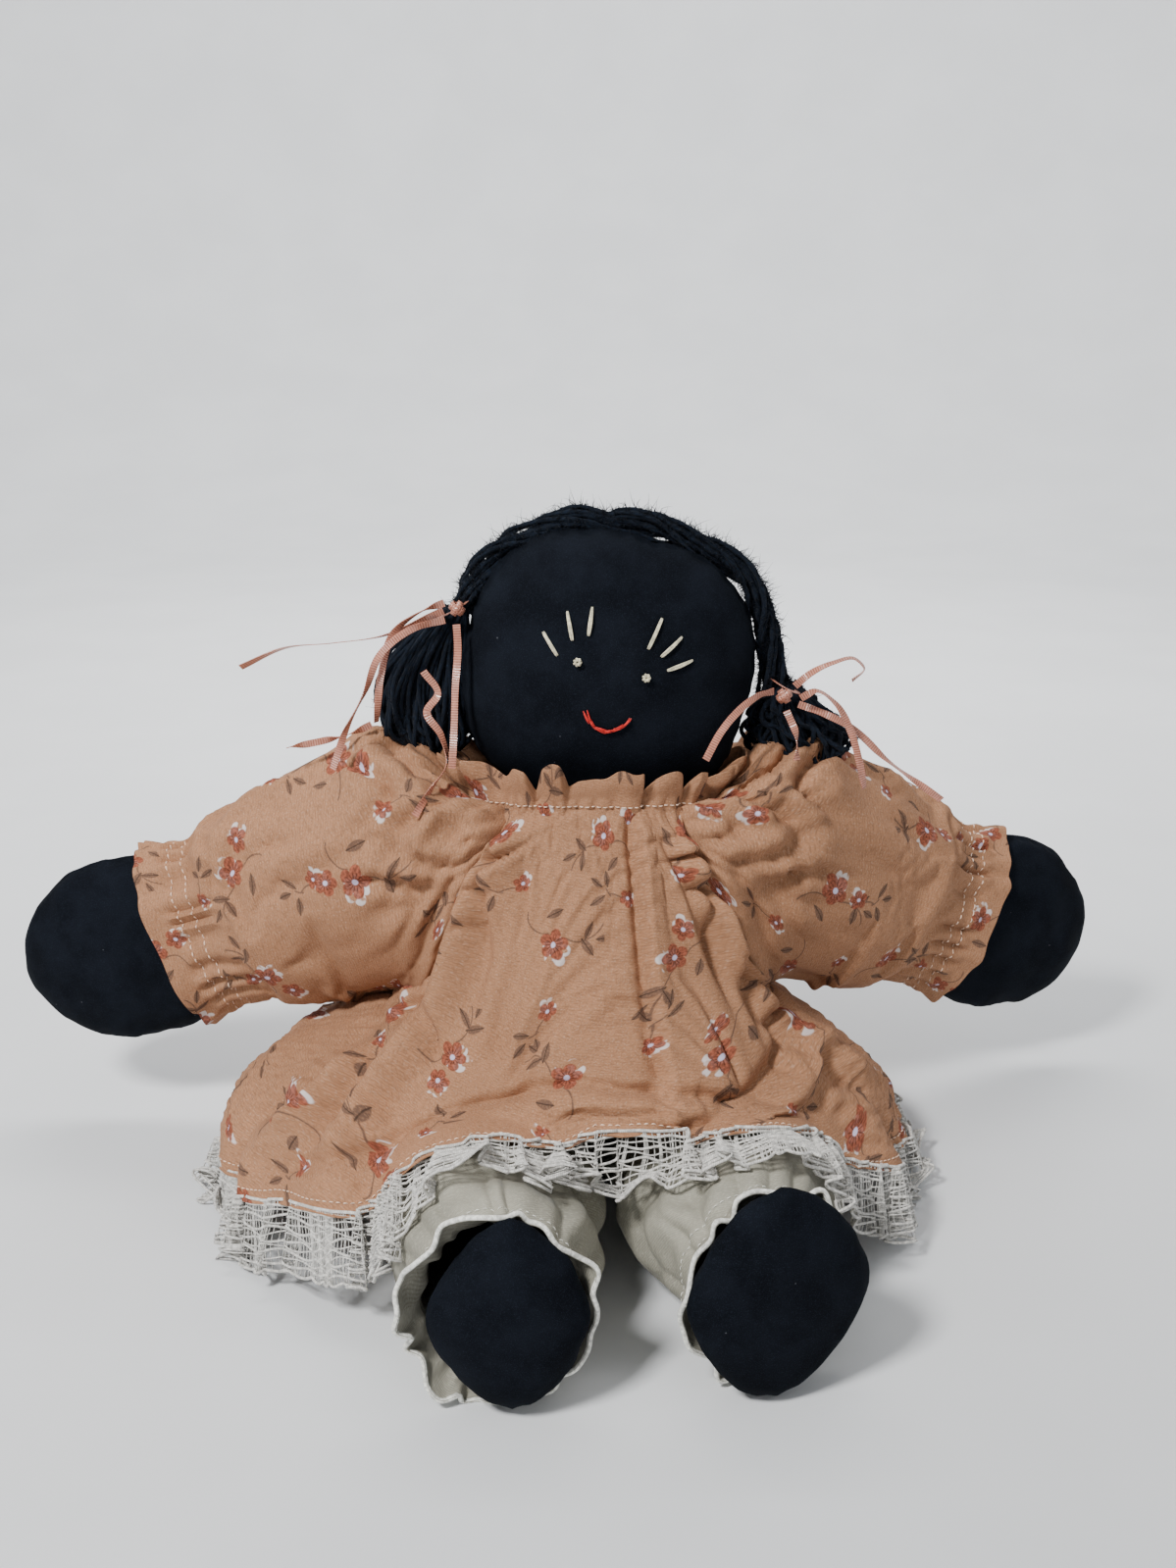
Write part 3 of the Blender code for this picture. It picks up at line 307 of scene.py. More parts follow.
class TrimSettings(bpy.types.PropertyGroup):
    """Sizes and colours of the hair, ribbons and stitches."""
    yarn_radius: bpy.props.FloatProperty(
        name="Yarn radius", description="Half the thickness of one strand of yarn",
        default=1.0 * MM, unit="LENGTH")
    yarn: bpy.props.FloatVectorProperty(
        name="Yarn", description="Colour of the hair",
        default=(0.0016, 0.0048, 0.0115), subtype="COLOR", size=3)
    satin: bpy.props.FloatVectorProperty(
        name="Satin", description="Colour of the ribbons",
        default=(0.44, 0.165, 0.105), subtype="COLOR", size=3)
    cream: bpy.props.FloatVectorProperty(
        name="Cream thread", description="Colour of the eyes and lashes",
        default=(0.72, 0.66, 0.46), subtype="COLOR", size=3)
    red: bpy.props.FloatVectorProperty(
        name="Red thread", description="Colour of the mouth",
        default=(0.60, 0.018, 0.012), subtype="COLOR", size=3)
    peach: bpy.props.FloatVectorProperty(
        name="Peach thread", description="Colour of the dress's stitches",
        default=(0.86, 0.62, 0.46), subtype="COLOR", size=3)
    white: bpy.props.FloatVectorProperty(
        name="White thread", description="Colour of the pantaloons' stitches and edging",
        default=(0.8, 0.79, 0.72), subtype="COLOR", size=3)


# Numbers and curves


def flow(stations, share):
    """Smooth values between given stations: a cubic between each two, whose slope at a station is that of
    its neighbours."""
    table = np.array(stations, float)
    places, values = table[:, 0], table[:, 1:]
    slopes = np.gradient(values, places, axis=0)
    share = np.clip(np.atleast_1d(share), places[0], places[-1])
    low = np.clip(np.searchsorted(places, share, side="right") - 1, 0, len(places) - 2)
    span = (places[low + 1] - places[low])[:, None]
    t = (share - places[low])[:, None] / span
    return (
        (2 * t**3 - 3 * t**2 + 1) * values[low]
        + (t**3 - 2 * t**2 + t) * span * slopes[low]
        + (3 * t**2 - 2 * t**3) * values[low + 1]
        + (t**3 - t**2) * span * slopes[low + 1]
    )


def run_along(line):
    """How far along a line each of its points is."""
    return np.concatenate([[0.0], np.cumsum(np.linalg.norm(np.diff(line, axis=0), axis=1))])


def smooth_route(points, steps):
    """Even samples on a smooth curve through the route's points."""
    table = np.array(points, float)
    reach = run_along(table)
    return flow(np.column_stack([reach, table]), np.linspace(0.0, reach[-1], steps))


def ripple(places, wavelength, seed, waves=9):
    """Soft unevenness near one wavelength: the sum of sine waves with random directions and phases."""
    source = np.random.default_rng(seed)
    ways = source.normal(size=(waves, places.shape[-1]))
    ways /= np.linalg.norm(ways, axis=1)[:, None]
    ways *= (source.uniform(0.6, 1.5, waves) * 2 * np.pi / wavelength)[:, None]
    return np.sin(places @ ways.T + source.uniform(0, 2 * np.pi, waves)).sum(-1) / math.sqrt(waves)


def bump(x, middle, width):
    """A smooth hill of height 1: e to the power of minus the squared distance over the width."""
    return np.exp(-(((x - middle) / width) ** 2))


def step_up(x, low, high):
    """0 below low, 1 above high, and a smooth S between."""
    t = np.clip((x - low) / (high - low), 0.0, 1.0)
    return t * t * (3 - 2 * t)


def pleats(phase, power=0.8):
    """Rounded ridges with narrow creases between them: twice |cos(phase / 2)|^power, less 1."""
    return 2 * np.abs(np.cos(phase / 2)) ** power - 1


def unit(vectors):
    """Each vector at length 1."""
    return vectors / np.maximum(np.linalg.norm(vectors, axis=-1, keepdims=True), 1e-12)


def stacked(*values):
    """Values of any shapes that fit together, as the coordinates of one array of points."""
    return np.stack(np.broadcast_arrays(*values), axis=-1)


def full_turn(count):
    """Even angles round a circle, as one row."""
    return np.linspace(0, 2 * np.pi, count, endpoint=False)[None, :]


def rings(centres, across, upward, half_across, half_up, turn, swell=0.0):
    """Rings along a line: centre plus cosine times the half width across and sine times the half
    height upward, each with a swell that may follow the angle."""
    side = (np.cos(turn) * (half_across + swell))[..., None] * across
    rise = (np.sin(turn) * (half_up + swell))[..., None] * upward
    return centres + side + rise


def finer(grid, wrapped=False):
    """A grid with twice as many steps each way: each new point is the cubic midpoint of four
    neighbours, (9 (b + c) - a - d) / 16. A wrapped grid repeats its first column at its end."""
    for axis in (0, 1):
        table = np.moveaxis(grid, axis, 0)
        if wrapped and axis == 1:
            padded = np.concatenate([table[-2:-1], table, table[1:2]])
        else:
            padded = np.concatenate([2 * table[:1] - table[1:2], table, 2 * table[-1:] - table[-2:-1]])
        made = np.empty((2 * len(table) - 1, *table.shape[1:]))
        made[::2] = table
        made[1::2] = (9 * (padded[1:-2] + padded[2:-1]) - padded[:-3] - padded[3:]) / 16
        grid = np.moveaxis(made, 0, axis)
    return grid


def grid_lengths(grid, gather=1.0):
    """Flat cloth coordinates of a grid in metres: length along each row from its middle, times the
    gathering, and length down each column."""
    across = np.linalg.norm(np.diff(grid, axis=1), axis=-1)
    across = np.concatenate([np.zeros((len(grid), 1)), np.cumsum(across, axis=1)], axis=1)
    across = (across - across[:, -1:] / 2) * gather
    down = np.linalg.norm(np.diff(grid, axis=0), axis=-1)
    down = np.concatenate([np.zeros((1, grid.shape[1])), np.cumsum(down, axis=0)], axis=0)
    return np.stack([across, down], axis=-1) * MM


def grid_area(grid):
    """The area of a grid's cloth, in square millimetres."""
    a, b, c, d = grid[:-1, :-1], grid[:-1, 1:], grid[1:, 1:], grid[1:, :-1]
    return float(np.linalg.norm(np.cross(c - a, d - b), axis=-1).sum() / 2)


# Meshes


def grid_quads(rows, columns, wrapped=False):
    """The quads between a grid's points, closed round where it is wrapped."""
    return quads_of(np.arange(rows * columns).reshape(rows, columns), wrapped)


def quads_of(numbers, wrapped=False):
    """The quads between points whose numbers are given as a grid."""
    if wrapped:
        numbers = np.concatenate([numbers, numbers[:, :1]], axis=1)
    corners = [numbers[:-1, :-1], numbers[:-1, 1:], numbers[1:, 1:], numbers[1:, :-1]]
    return np.stack(corners, axis=-1).reshape(-1, 4)


def make_piece(name, points, faces, material, flat=None):
    """One object from points in millimetres and lists of faces, with an optional flat map per point."""
    mesh = bpy.data.meshes.new(name)
    polygons = [face for group in faces for face in np.asarray(group).tolist()]
    mesh.from_pydata((np.asarray(points) * MM).tolist(), [], polygons)
    mesh.polygons.foreach_set("use_smooth", np.ones(len(polygons), bool))
    if flat is not None:
        corners = np.zeros(len(mesh.loops), int)
        mesh.loops.foreach_get("vertex_index", corners)
        layer = mesh.uv_layers.new(name="cloth")
        layer.data.foreach_set("uv", np.asarray(flat, np.float32).reshape(-1, 2)[corners].ravel())
    mesh.materials.append(material)
    obj = bpy.data.objects.new(name, mesh)
    bpy.context.scene.collection.objects.link(obj)
    return obj


def attach(obj, slot, body, *nodes):
    """Parent a piece to the one body that carries it, or, where two bodies are given, only bake its place
    into its points; and hide the frame's nodes that it shows. The slot is not used.
    """
    if isinstance(body, str):
        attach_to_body(obj, body)
    else:
        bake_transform(obj)
    if nodes:
        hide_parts(*nodes)


def stuffed_piece(name, grid):
    """A closed black form from rings of points, with one face at each end, all turned outward. It rides on
    its own body."""
    rows, columns = grid.shape[:2]
    ends = [[list(range(columns))[::-1]], [[(rows - 1) * columns + k for k in range(columns)]]]
    obj = make_piece(name, grid.reshape(-1, 3), [grid_quads(rows, columns, True), *ends], finish("black"))
    shape = bmesh.new()
    shape.from_mesh(obj.data)
    bmesh.ops.recalc_face_normals(shape, faces=shape.faces)
    shape.to_mesh(obj.data)
    shape.free()
    attach(obj, "black_cloth", name, name)


def sheet_piece(name, grid, material, flat, wrapped=False, smooth=True):
    """A sheet of cloth: a grid of points with its thickness, smoothed on the way or, where the grid is
    fine already, made the mesh itself with sharp shading only at its cut edges. A wrapped grid repeats
    its first column at its end, and the two are sewn."""
    rows, columns = grid.shape[:2]
    obj = make_piece(name, grid.reshape(-1, 3), [grid_quads(rows, columns)], finish(material), flat)
    if wrapped:
        sew = obj.modifiers.new("sewn_edge", "WELD")
        sew.merge_threshold = SEWN_WITHIN * MM
    if smooth:
        soft = obj.modifiers.new("smooth", "SUBSURF")
        soft.levels = soft.render_levels = 1
    body = obj.modifiers.new("thickness", "SOLIDIFY")
    body.thickness = bpy.context.scene.doll_cloth.thickness
    body.offset = 0.0
    if not smooth:
        rough = obj.data
        mesh = bpy.data.meshes.new_from_object(obj.evaluated_get(bpy.context.evaluated_depsgraph_get()))
        obj.modifiers.clear()
        obj.data = mesh
        bpy.data.meshes.remove(rough)
        mesh.set_sharp_from_angle(angle=CUT_EDGE_ANGLE)
    return obj


def declare_sheet(width, height=None, area=None):
    """Work out a sheet's flat height in millimetres from its width and area when none is given; nothing is
    kept or returned.
    """
    height = area / width if height is None else height


def tubes(paths, radius, sides, steady=(0.31, 0.90, 0.28)):
    """Points, faces and flat map of round tubes carried along paths (count, steps, 3): at each step a
    ring whose frame is square to the path and holds to one steady direction. Ends are closed."""
    count, steps = paths.shape[:2]
    along = unit(np.gradient(paths, axis=1))
    side = unit(np.cross(along, np.array(steady)))
    other = np.cross(along, side)
    turn = np.arange(sides) * 2 * np.pi / sides
    radius = np.broadcast_to(np.asarray(radius, float), (count, steps))[..., None, None]
    ring = side[:, :, None] * np.cos(turn)[:, None] + other[:, :, None] * np.sin(turn)[:, None]
    points = paths[:, :, None] + ring * radius
    starts = np.arange(count)[:, None, None] * steps * sides
    quads = (grid_quads(steps, sides, True)[None] + starts).reshape(-1, 4)
    first = np.arange(sides)[::-1] + starts[:, 0]
    last = np.arange(sides) + (steps - 1) * sides + starts[:, 0]
    reach = np.cumsum(np.linalg.norm(np.diff(paths, axis=1), axis=-1), axis=1)
    reach = np.concatenate([np.zeros((count, 1)), reach], axis=1)
    flat = stacked(turn / (2 * np.pi), reach[..., None] * MM)
    return points.reshape(-1, 3), [quads, first, last], flat.reshape(-1, 2)


def strand_piece(name, parts, material):
    """One object from several tubes or strips of (points, faces, flat map)."""
    faces = []
    start = 0
    for points, part_faces, _ in parts:
        faces.extend(np.asarray(group) + start for group in part_faces)
        start += len(points)
    points = np.concatenate([part[0] for part in parts])
    return make_piece(name, points, faces, finish(material), np.concatenate([part[2] for part in parts]))


def stitches(line, out, pitch, radius, proud=0.35, share=0.62):
    """Separate stitches along a line, standing proud of the cloth on its outer side: each is a short
    thread that dips in at both ends, its height the square root of a half wave."""
    line = line + out * proud
    reach = run_along(line)
    starts = np.arange(max(int(reach[-1] / pitch), 1)) * pitch
    t = np.linspace(0.0, 1.0, 7)
    places = starts[:, None] + t * pitch * share
    paths = np.stack([np.interp(places, reach, line[:, k]) for k in range(3)], axis=-1)
    normals = np.stack([np.interp(places, reach, out[:, k]) for k in range(3)], axis=-1)
    paths = paths + normals * (np.sqrt(np.sin(np.pi * t))[None, :, None] - 0.5) * radius * 1.6
    return tubes(paths, radius * (0.55 + 0.45 * np.sin(np.pi * t)), 5)


# Materials


class Ink:
    """A material whose Math nodes follow one another, so that a pattern reads as a formula. Its even
    values are set on the shader's own sockets."""

    def __init__(self, name, roughness, sheen=0.0, sheen_roughness=0.5, specular=0.3):
        """A new material with its even values."""
        self.material = bpy.data.materials.new(name)
        self.material.use_nodes = True
        self.tree = self.material.node_tree
        self.shader = self.tree.nodes["Principled BSDF"]
        self.count = 0
        even = {"Roughness": roughness, "Sheen Weight": sheen, "Sheen Roughness": sheen_roughness,
                "Specular IOR Level": specular}
        for socket, value in even.items():
            self.shader.inputs[socket].default_value = value

    def node(self, kind, **settings):
        """A new node of one kind, with its settings."""
        made = self.tree.nodes.new(kind)
        self.count += 1
        made.location = (180 * (self.count % 14), -160 * (self.count // 14))
        for key, value in settings.items():
            setattr(made, key, value)
        return made

    def feed(self, socket, value):
        """Link a socket to an input, or set the input to a value."""
        if isinstance(value, bpy.types.NodeSocket):
            self.tree.links.new(value, socket)
        else:
            socket.default_value = value

    def fed(self, made, *values):
        """A node with its first inputs fed in order."""
        for socket, value in zip(made.inputs, values):
            self.feed(socket, value)
        return made

    def math(self, operation, *values):
        """One Math node."""
        return self.fed(self.node("ShaderNodeMath", operation=operation), *values).outputs[0]

    def add(self, a, b):
        """The sum."""
        return self.math("ADD", a, b)

    def less(self, a, b):
        """The difference."""
        return self.math("SUBTRACT", a, b)

    def times(self, a, b):
        """The product."""
        return self.math("MULTIPLY", a, b)

    def most(self, first, *others):
        """The greatest of some values."""
        for value in others:
            first = self.math("MAXIMUM", first, value)
        return first

    def ramp(self, value, low, high, start=0.0, end=1.0):
        """A value carried from one range to another, and held at both ends."""
        made = self.node("ShaderNodeMapRange", interpolation_type="SMOOTHSTEP")
        return self.fed(made, value, low, high, start, end).outputs[0]

    def edge(self, value, softness=0.25):
        """1 where the value is above 0 and 0 where it is below, with a soft edge."""
        return self.ramp(value, -softness, softness)

    def lifted(self, value):
        """A value from -1 to 1 carried to the range from 0 to 1."""
        return self.add(self.times(value, 0.5), 0.5)

    def wave(self, value, period):
        """A sine of a value, from -1 to 1, once each period."""
        return self.math("SINE", self.times(value, 2 * math.pi / period))

    def distance(self, x, y):
        """The length of a vector in the plane."""
        return self.math("SQRT", self.add(self.times(x, x), self.times(y, y)))

    def mix(self, share, first, second):
        """One colour over another."""
        made = self.node("ShaderNodeMix", data_type="RGBA")
        self.feed(made.inputs[0], share)
        self.feed(made.inputs[6], first)
        self.feed(made.inputs[7], second)
        return made.outputs[2]

    def noise(self, vector, scale, detail=3.0):
        """A noise texture's value, of one scale or of a scale for each axis."""
        if isinstance(scale, tuple):
            stretch = self.node("ShaderNodeMapping", vector_type="POINT")
            self.feed(stretch.inputs["Vector"], vector)
            stretch.inputs["Scale"].default_value = (*scale, 1.0)
            vector, scale = stretch.outputs[0], 1.0
        made = self.node("ShaderNodeTexNoise")
        self.feed(made.inputs["Vector"], vector)
        for socket, value in {"Scale": scale, "Detail": detail, "Roughness": 0.55}.items():
            made.inputs[socket].default_value = value
        return made.outputs[0]

    def place(self):
        """The object's own coordinates."""
        return self.node("ShaderNodeTexCoord").outputs["Object"]

    def cloth_map(self):
        """The flat map's two lengths in metres, and the whole vector."""
        source = self.node("ShaderNodeUVMap", uv_map="cloth").outputs[0]
        split = self.fed(self.node("ShaderNodeSeparateXYZ"), source)
        return split.outputs[0], split.outputs[1], source

    def finished(self, colour, height, depth, strength=1.0):
        """The material with its colour, and relief from a height between 0 and 1 at a real depth."""
        relief = self.node("ShaderNodeBump")
        relief.inputs["Strength"].default_value = strength
        relief.inputs["Distance"].default_value = depth * MM
        self.feed(relief.inputs["Height"], height)
        self.feed(self.shader.inputs["Normal"], relief.outputs[0])
        self.feed(self.shader.inputs["Base Color"], colour)
        return self.material


def rgba(colour, dim=1.0):
    """A colour with its alpha, made lighter or darker."""
    return (colour[0] * dim, colour[1] * dim, colour[2] * dim, 1.0)


def turned(ink, x, y, angle):
    """Coordinates turned by an angle."""
    cosine, sine = ink.math("COSINE", angle), ink.math("SINE", angle)
    across = ink.less(ink.times(x, cosine), ink.times(y, sine))
    return across, ink.add(ink.times(x, sine), ink.times(y, cosine))


def print_cell(ink, u, v, shift, seed):
    """Local millimetres inside a staggered square cell, turned at random, with the cell's own chance."""
    x = ink.add(ink.times(u, 1 / (PRINT_CELL * MM)), shift[0] + seed)
    y = ink.add(ink.times(v, 1 / (PRINT_CELL * MM)), shift[1] + seed)
    row = ink.math("FLOOR", y)
    x = ink.add(x, ink.times(row, 0.5))
    column = ink.math("FLOOR", x)
    cell = ink.fed(ink.node("ShaderNodeCombineXYZ"), column, row, float(seed)).outputs[0]
    chance = ink.fed(ink.node("ShaderNodeTexWhiteNoise", noise_dimensions="3D"), cell)
    apart = ink.fed(ink.node("ShaderNodeSeparateColor"), chance.outputs["Color"])
    x = ink.less(ink.less(x, column), ink.ramp(apart.outputs[0], 0.0, 1.0, 0.40, 0.60))
    y = ink.less(ink.less(y, row), ink.ramp(apart.outputs[1], 0.0, 1.0, 0.40, 0.60))
    x, y = ink.times(x, PRINT_CELL), ink.times(y, PRINT_CELL)
    return turned(ink, x, y, ink.times(chance.outputs["Value"], 6.283)), apart.outputs[2]


def flower(ink, cell, centre, size):
    """A five-petalled flower: the petals' edge is at size times 0.6 + 0.4 |cos 2.5 angle|^0.6. Its
    petals, the dark rays on them and its heart."""
    x, y = ink.less(cell[0], centre[0]), ink.less(cell[1], centre[1])
    reach = ink.distance(x, y)
    angle = ink.math("ARCTAN2", y, x)
    lobe = ink.math("ABSOLUTE", ink.math("COSINE", ink.times(angle, 2.5)))
    outline = ink.times(ink.add(ink.times(ink.math("POWER", lobe, 0.6), 0.40), 0.60), size)
    petals = ink.edge(ink.less(outline, reach), 0.3)
    rays = ink.ramp(ink.math("COSINE", ink.times(angle, 13.0)), 0.35, 0.8)
    rays = ink.times(rays, ink.edge(ink.less(size * 0.58, reach), 0.8))
    return petals, ink.times(rays, petals), ink.edge(ink.less(size * 0.19, reach), 0.25)


def leaf(ink, cell, centre, length, width, angle):
    """A pointed leaf and its rib: half width times 1 less the squared distance from its middle."""
    along, across = turned(ink, ink.less(cell[0], centre[0]), ink.less(cell[1], centre[1]), angle)
    share = ink.times(along, 2 / length)
    half = ink.times(ink.less(1.0, ink.times(share, share)), width / 2)
    aside = ink.math("ABSOLUTE", across)
    shape = ink.edge(ink.less(half, aside), 0.22)
    return shape, ink.times(ink.edge(ink.less(0.2, aside), 0.15), shape)


def stem(ink, cell, centre, radius, low, high):
    """Part of a circle's line, between two angles."""
    dx, dy = ink.less(cell[0], centre[0]), ink.less(cell[1], centre[1])
    off = ink.math("ABSOLUTE", ink.less(ink.distance(dx, dy), radius))
    angle = ink.math("ARCTAN2", dy, dx)
    inside = ink.times(ink.edge(ink.less(angle, low), 0.05), ink.edge(ink.less(high, angle), 0.05))
    return ink.times(ink.edge(ink.less(0.32, off), 0.18), inside)


def calico_ground(ink, u, v, whole):
    """The unprinted cloth: an uneven weave of warmer and greyer threads, with slubs along the threads."""
    calico = bpy.context.scene.doll_cloth.calico
    tone = ink.ramp(ink.noise(whole, 22.0, 2.0), 0.3, 0.7)
    ground = ink.mix(tone, rgba(calico, 0.90), rgba(calico, 1.08))
    along = ink.noise(whole, (330.0, 2000.0), 1.0)
    down = ink.noise(whole, (1900.0, 330.0), 1.0)
    slubs = ink.most(ink.ramp(along, 0.44, 0.72), ink.times(ink.ramp(down, 0.46, 0.74), 0.8))
    ground = ink.mix(ink.times(slubs, 0.75), ground, rgba(calico, 0.52))
    pale = ink.ramp(ink.noise(whole, (1100.0, 1500.0), 1.0), 0.50, 0.75)
    ground = ink.mix(ink.times(pale, 0.55), ground, PALE_THREAD)
    rows = ink.lifted(ink.wave(ink.add(v, ink.times(u, 0.22)), CALICO_PITCH * MM))
    weave = ink.lifted(ink.times(ink.wave(u, CALICO_PITCH * MM), ink.wave(v, CALICO_PITCH * MM)))
    threads = ink.add(ink.times(weave, 0.5), ink.times(rows, 0.5))
    ground = ink.mix(ink.times(threads, 0.42), ground, rgba(calico, 0.48))
    return ground, ink.add(ink.times(threads, -0.5), ink.times(slubs, -0.4))


def calico_material():
    """Peach plain-weave cotton with a small print: rust flowers with a pale halo on one side, buds,
    brown leaves with midribs and thin stems."""
    cloth = bpy.context.scene.doll_cloth
    ink = Ink("printed_calico", 0.88, 0.02, 0.45, 0.12)
    u, v, whole = ink.cloth_map()
    first, chance = print_cell(ink, u, v, (0.13, 0.37), 3)
    second, _ = print_cell(ink, u, v, (0.62, 0.88), 11)
    cells = {"first": first, "second": second}
    sometimes = ink.edge(ink.less(chance, 0.45), 0.01)
    masks = []
    for cell, centre, size, halo_at, halo_size, always in FLOWERS:
        found = [*flower(ink, cells[cell], centre, size), flower(ink, cells[cell], halo_at, halo_size)[0]]
        masks.append(found if always else [ink.times(mask, sometimes) for mask in found])
    blooms, rays, hearts, halos = (ink.most(*kind) for kind in zip(*masks))
    leaves = [leaf(ink, cells[cell], *facts) for cell, *facts in LEAVES]
    stems = [stem(ink, cells[cell], *facts) for cell, *facts in STEMS]
    green = ink.most(*(shape for shape, _ in leaves), *stems)
    ribs = ink.most(*(rib for _, rib in leaves))
    ground, height = calico_ground(ink, u, v, whole)
    printed = ink.ramp(ink.noise(whole, 1500.0, 1.0), 0.25, 0.55, 0.55, 1.0)
    colour = ink.mix(ink.times(ink.times(green, 0.84), printed), ground, rgba(cloth.leaf))
    colour = ink.mix(ink.times(ribs, 0.75), colour, rgba(cloth.leaf, 0.35))
    halos = ink.times(halos, ink.ramp(ink.noise(whole, 240.0, 1.0), 0.44, 0.54))
    colour = ink.mix(ink.times(halos, 0.80), colour, HALO)
    patchy = ink.ramp(ink.noise(whole, 900.0, 2.0), 0.35, 0.7)
    petal = ink.mix(patchy, rgba(cloth.petal, 0.75), rgba(cloth.petal, 1.75))
    colour = ink.mix(ink.times(blooms, 0.93), colour, petal)
    colour = ink.mix(ink.times(rays, 0.70), colour, rgba(cloth.petal, 0.25))
    colour = ink.mix(ink.times(hearts, 0.9), colour, HEART)
    return ink.finished(colour, height, 0.09, 0.8)


def black_material():
    """Black cotton with a slight nap, faint blue unevenness, weave and specks of lint."""
    black = bpy.context.scene.doll_cloth.black
    ink = Ink("black_cotton", 0.92, 0.0, 0.35, 0.05)
    place = ink.place()
    colour = ink.mix(ink.ramp(ink.noise(place, 60.0, 4.0), 0.3, 0.7), rgba(black, 0.8), rgba(black, 1.6))
    grain = ink.noise(place, 2600.0, 1.0)
    colour = ink.mix(ink.ramp(grain, 0.5, 0.75, 0.0, 0.6), colour, rgba(black, 3.6))
    lint = ink.node("ShaderNodeTexVoronoi")
    ink.feed(lint.inputs["Vector"], place)
    lint.inputs["Scale"].default_value = 95.0
    speck = ink.edge(ink.less(0.030, lint.outputs["Distance"]), 0.012)
    colour = ink.mix(ink.times(speck, 0.20), colour, LINT)
    height = ink.add(ink.times(grain, 0.5), ink.times(ink.noise(place, 300.0), 0.5))
    return ink.finished(colour, height, 0.12)


def twill_material():
    """Off-white twill: fine diagonal ribs, soft yellowing and creases."""
    twill = bpy.context.scene.doll_cloth.twill
    ink = Ink("white_twill", 0.62, 0.06, 0.35, 0.25)
    u, v, whole = ink.cloth_map()
    ribs = ink.lifted(ink.wave(ink.add(u, ink.times(v, 1.6)), 1.5 * MM))
    colour = ink.mix(ink.ramp(ink.noise(whole, 30.0), 0.3, 0.75), rgba(twill, 0.84), rgba(twill, 1.14))
    colour = ink.mix(ink.times(ribs, 0.34), colour, rgba(twill, 0.50))
    fleck = ink.ramp(ink.noise(whole, (800.0, 1300.0), 1.0), 0.45, 0.75)
    colour = ink.mix(ink.times(fleck, 0.35), colour, rgba(twill, 1.6))
    creases = ink.math("ABSOLUTE", ink.less(ink.noise(whole, 55.0), 0.5))
    return ink.finished(colour, ink.add(ink.times(ribs, 0.16), ink.times(creases, 2.6)), 0.9, 0.65)


def thread_material(name, colour, roughness, sheen, pitch, depth):
    """Twisted thread or yarn: slanting ply ridges round the strand, from the flat map."""
    ink = Ink(name, roughness, sheen, 0.5, 0.25)
    u, v, _ = ink.cloth_map()
    slant = 2.2 * math.pi / (pitch * MM)
    ply = ink.lifted(ink.math("SINE", ink.add(ink.times(u, 4 * math.pi), ink.times(v, slant))))
    tone = ink.noise(ink.place(), 700.0)
    base = ink.mix(ink.ramp(tone, 0.3, 0.7), rgba(colour, 0.7), rgba(colour, 1.45))
    base = ink.mix(ink.times(ply, 0.45), base, rgba(colour, 0.5))
    return ink.finished(base, ink.add(ink.times(ply, 0.7), ink.times(tone, 0.5)), depth)


def satin_material():
    """Woven satin ribbon: a glossy face with fine cross ribs, whose crests carry a painted highlight."""
    satin = bpy.context.scene.doll_trim.satin
    ink = Ink("satin_ribbon", 0.30, 0.05, 0.3, 1.0)
    _, v, whole = ink.cloth_map()
    ribs = ink.lifted(ink.wave(v, 1.0 * MM))
    tone = ink.noise(whole, (300.0, 90.0))
    colour = ink.mix(ink.ramp(tone, 0.3, 0.7), rgba(satin, 0.50), rgba(satin, 1.10))
    # The rib crests are painted lighter here: a painted highlight on the satin's ribs, over their real
    # relief.
    colour = ink.mix(ink.times(ribs, 0.40), colour, rgba(satin, 1.9))
    ink.feed(ink.shader.inputs["Roughness"], ink.ramp(ribs, 0.0, 1.0, 0.18, 0.46))
    return ink.finished(colour, ink.add(ribs, ink.times(tone, 0.6)), 0.16)


def finish(name):
    """The material of one finish, made once."""
    if name not in MATERIALS:
        cloth, trim = bpy.context.scene.doll_cloth, bpy.context.scene.doll_trim
        threads = {
            "yarn": ("blue_black_yarn", trim.yarn, 0.94, 0.02, 4.0, 0.18),
            "lace": ("lace_thread", cloth.lace, 0.7, 0.3, 0.8, 0.05),
            "cream": ("cream_floss", trim.cream, 0.5, 0.3, 0.9, 0.07),
            "red": ("red_floss", trim.red, 0.5, 0.2, 0.9, 0.07),
            "peach": ("peach_thread", trim.peach, 0.5, 0.2, 0.5, 0.03),
            "white": ("white_thread", trim.white, 0.5, 0.2, 0.5, 0.03),
        }
        cloths = {"calico": calico_material, "black": black_material, "twill": twill_material,
                  "satin": satin_material}
        MATERIALS[name] = cloths[name]() if name in cloths else thread_material(*threads[name])
    return MATERIALS[name]


# Where the limbs are


def arm_frame(side):
    """Level arm direction, raising pivot, arm direction, upward direction and depth direction."""
    sign = SIDES[side]
    back, droop = ARM_SWUNG_BACK[side], ARM_DROOP[side]
    level = np.array([sign * math.cos(back), math.sin(back), 0.0])
    pivot = SHOULDER * (sign, 1, 1) + level * SHOULDER_TO_PIVOT
    along = level * math.cos(droop) - UP * math.sin(droop)
    upward = level * math.sin(droop) + UP * math.cos(droop)
    return level, pivot, along, upward, np.cross(along, upward) * -sign


def leg_frame(side):
    """Point on the ground under the splay pivot, leg direction and sideways direction."""
    sign = SIDES[side]
    splay = LEG_SPLAY[side]
    base = np.array([sign * HIP[0], HIP[1] - HIP_TO_PIVOT, 0.0])
    along = np.array([sign * math.sin(splay), -math.cos(splay), 0.0])
    return base, along, np.array([sign * math.cos(splay), math.sin(splay), 0.0])


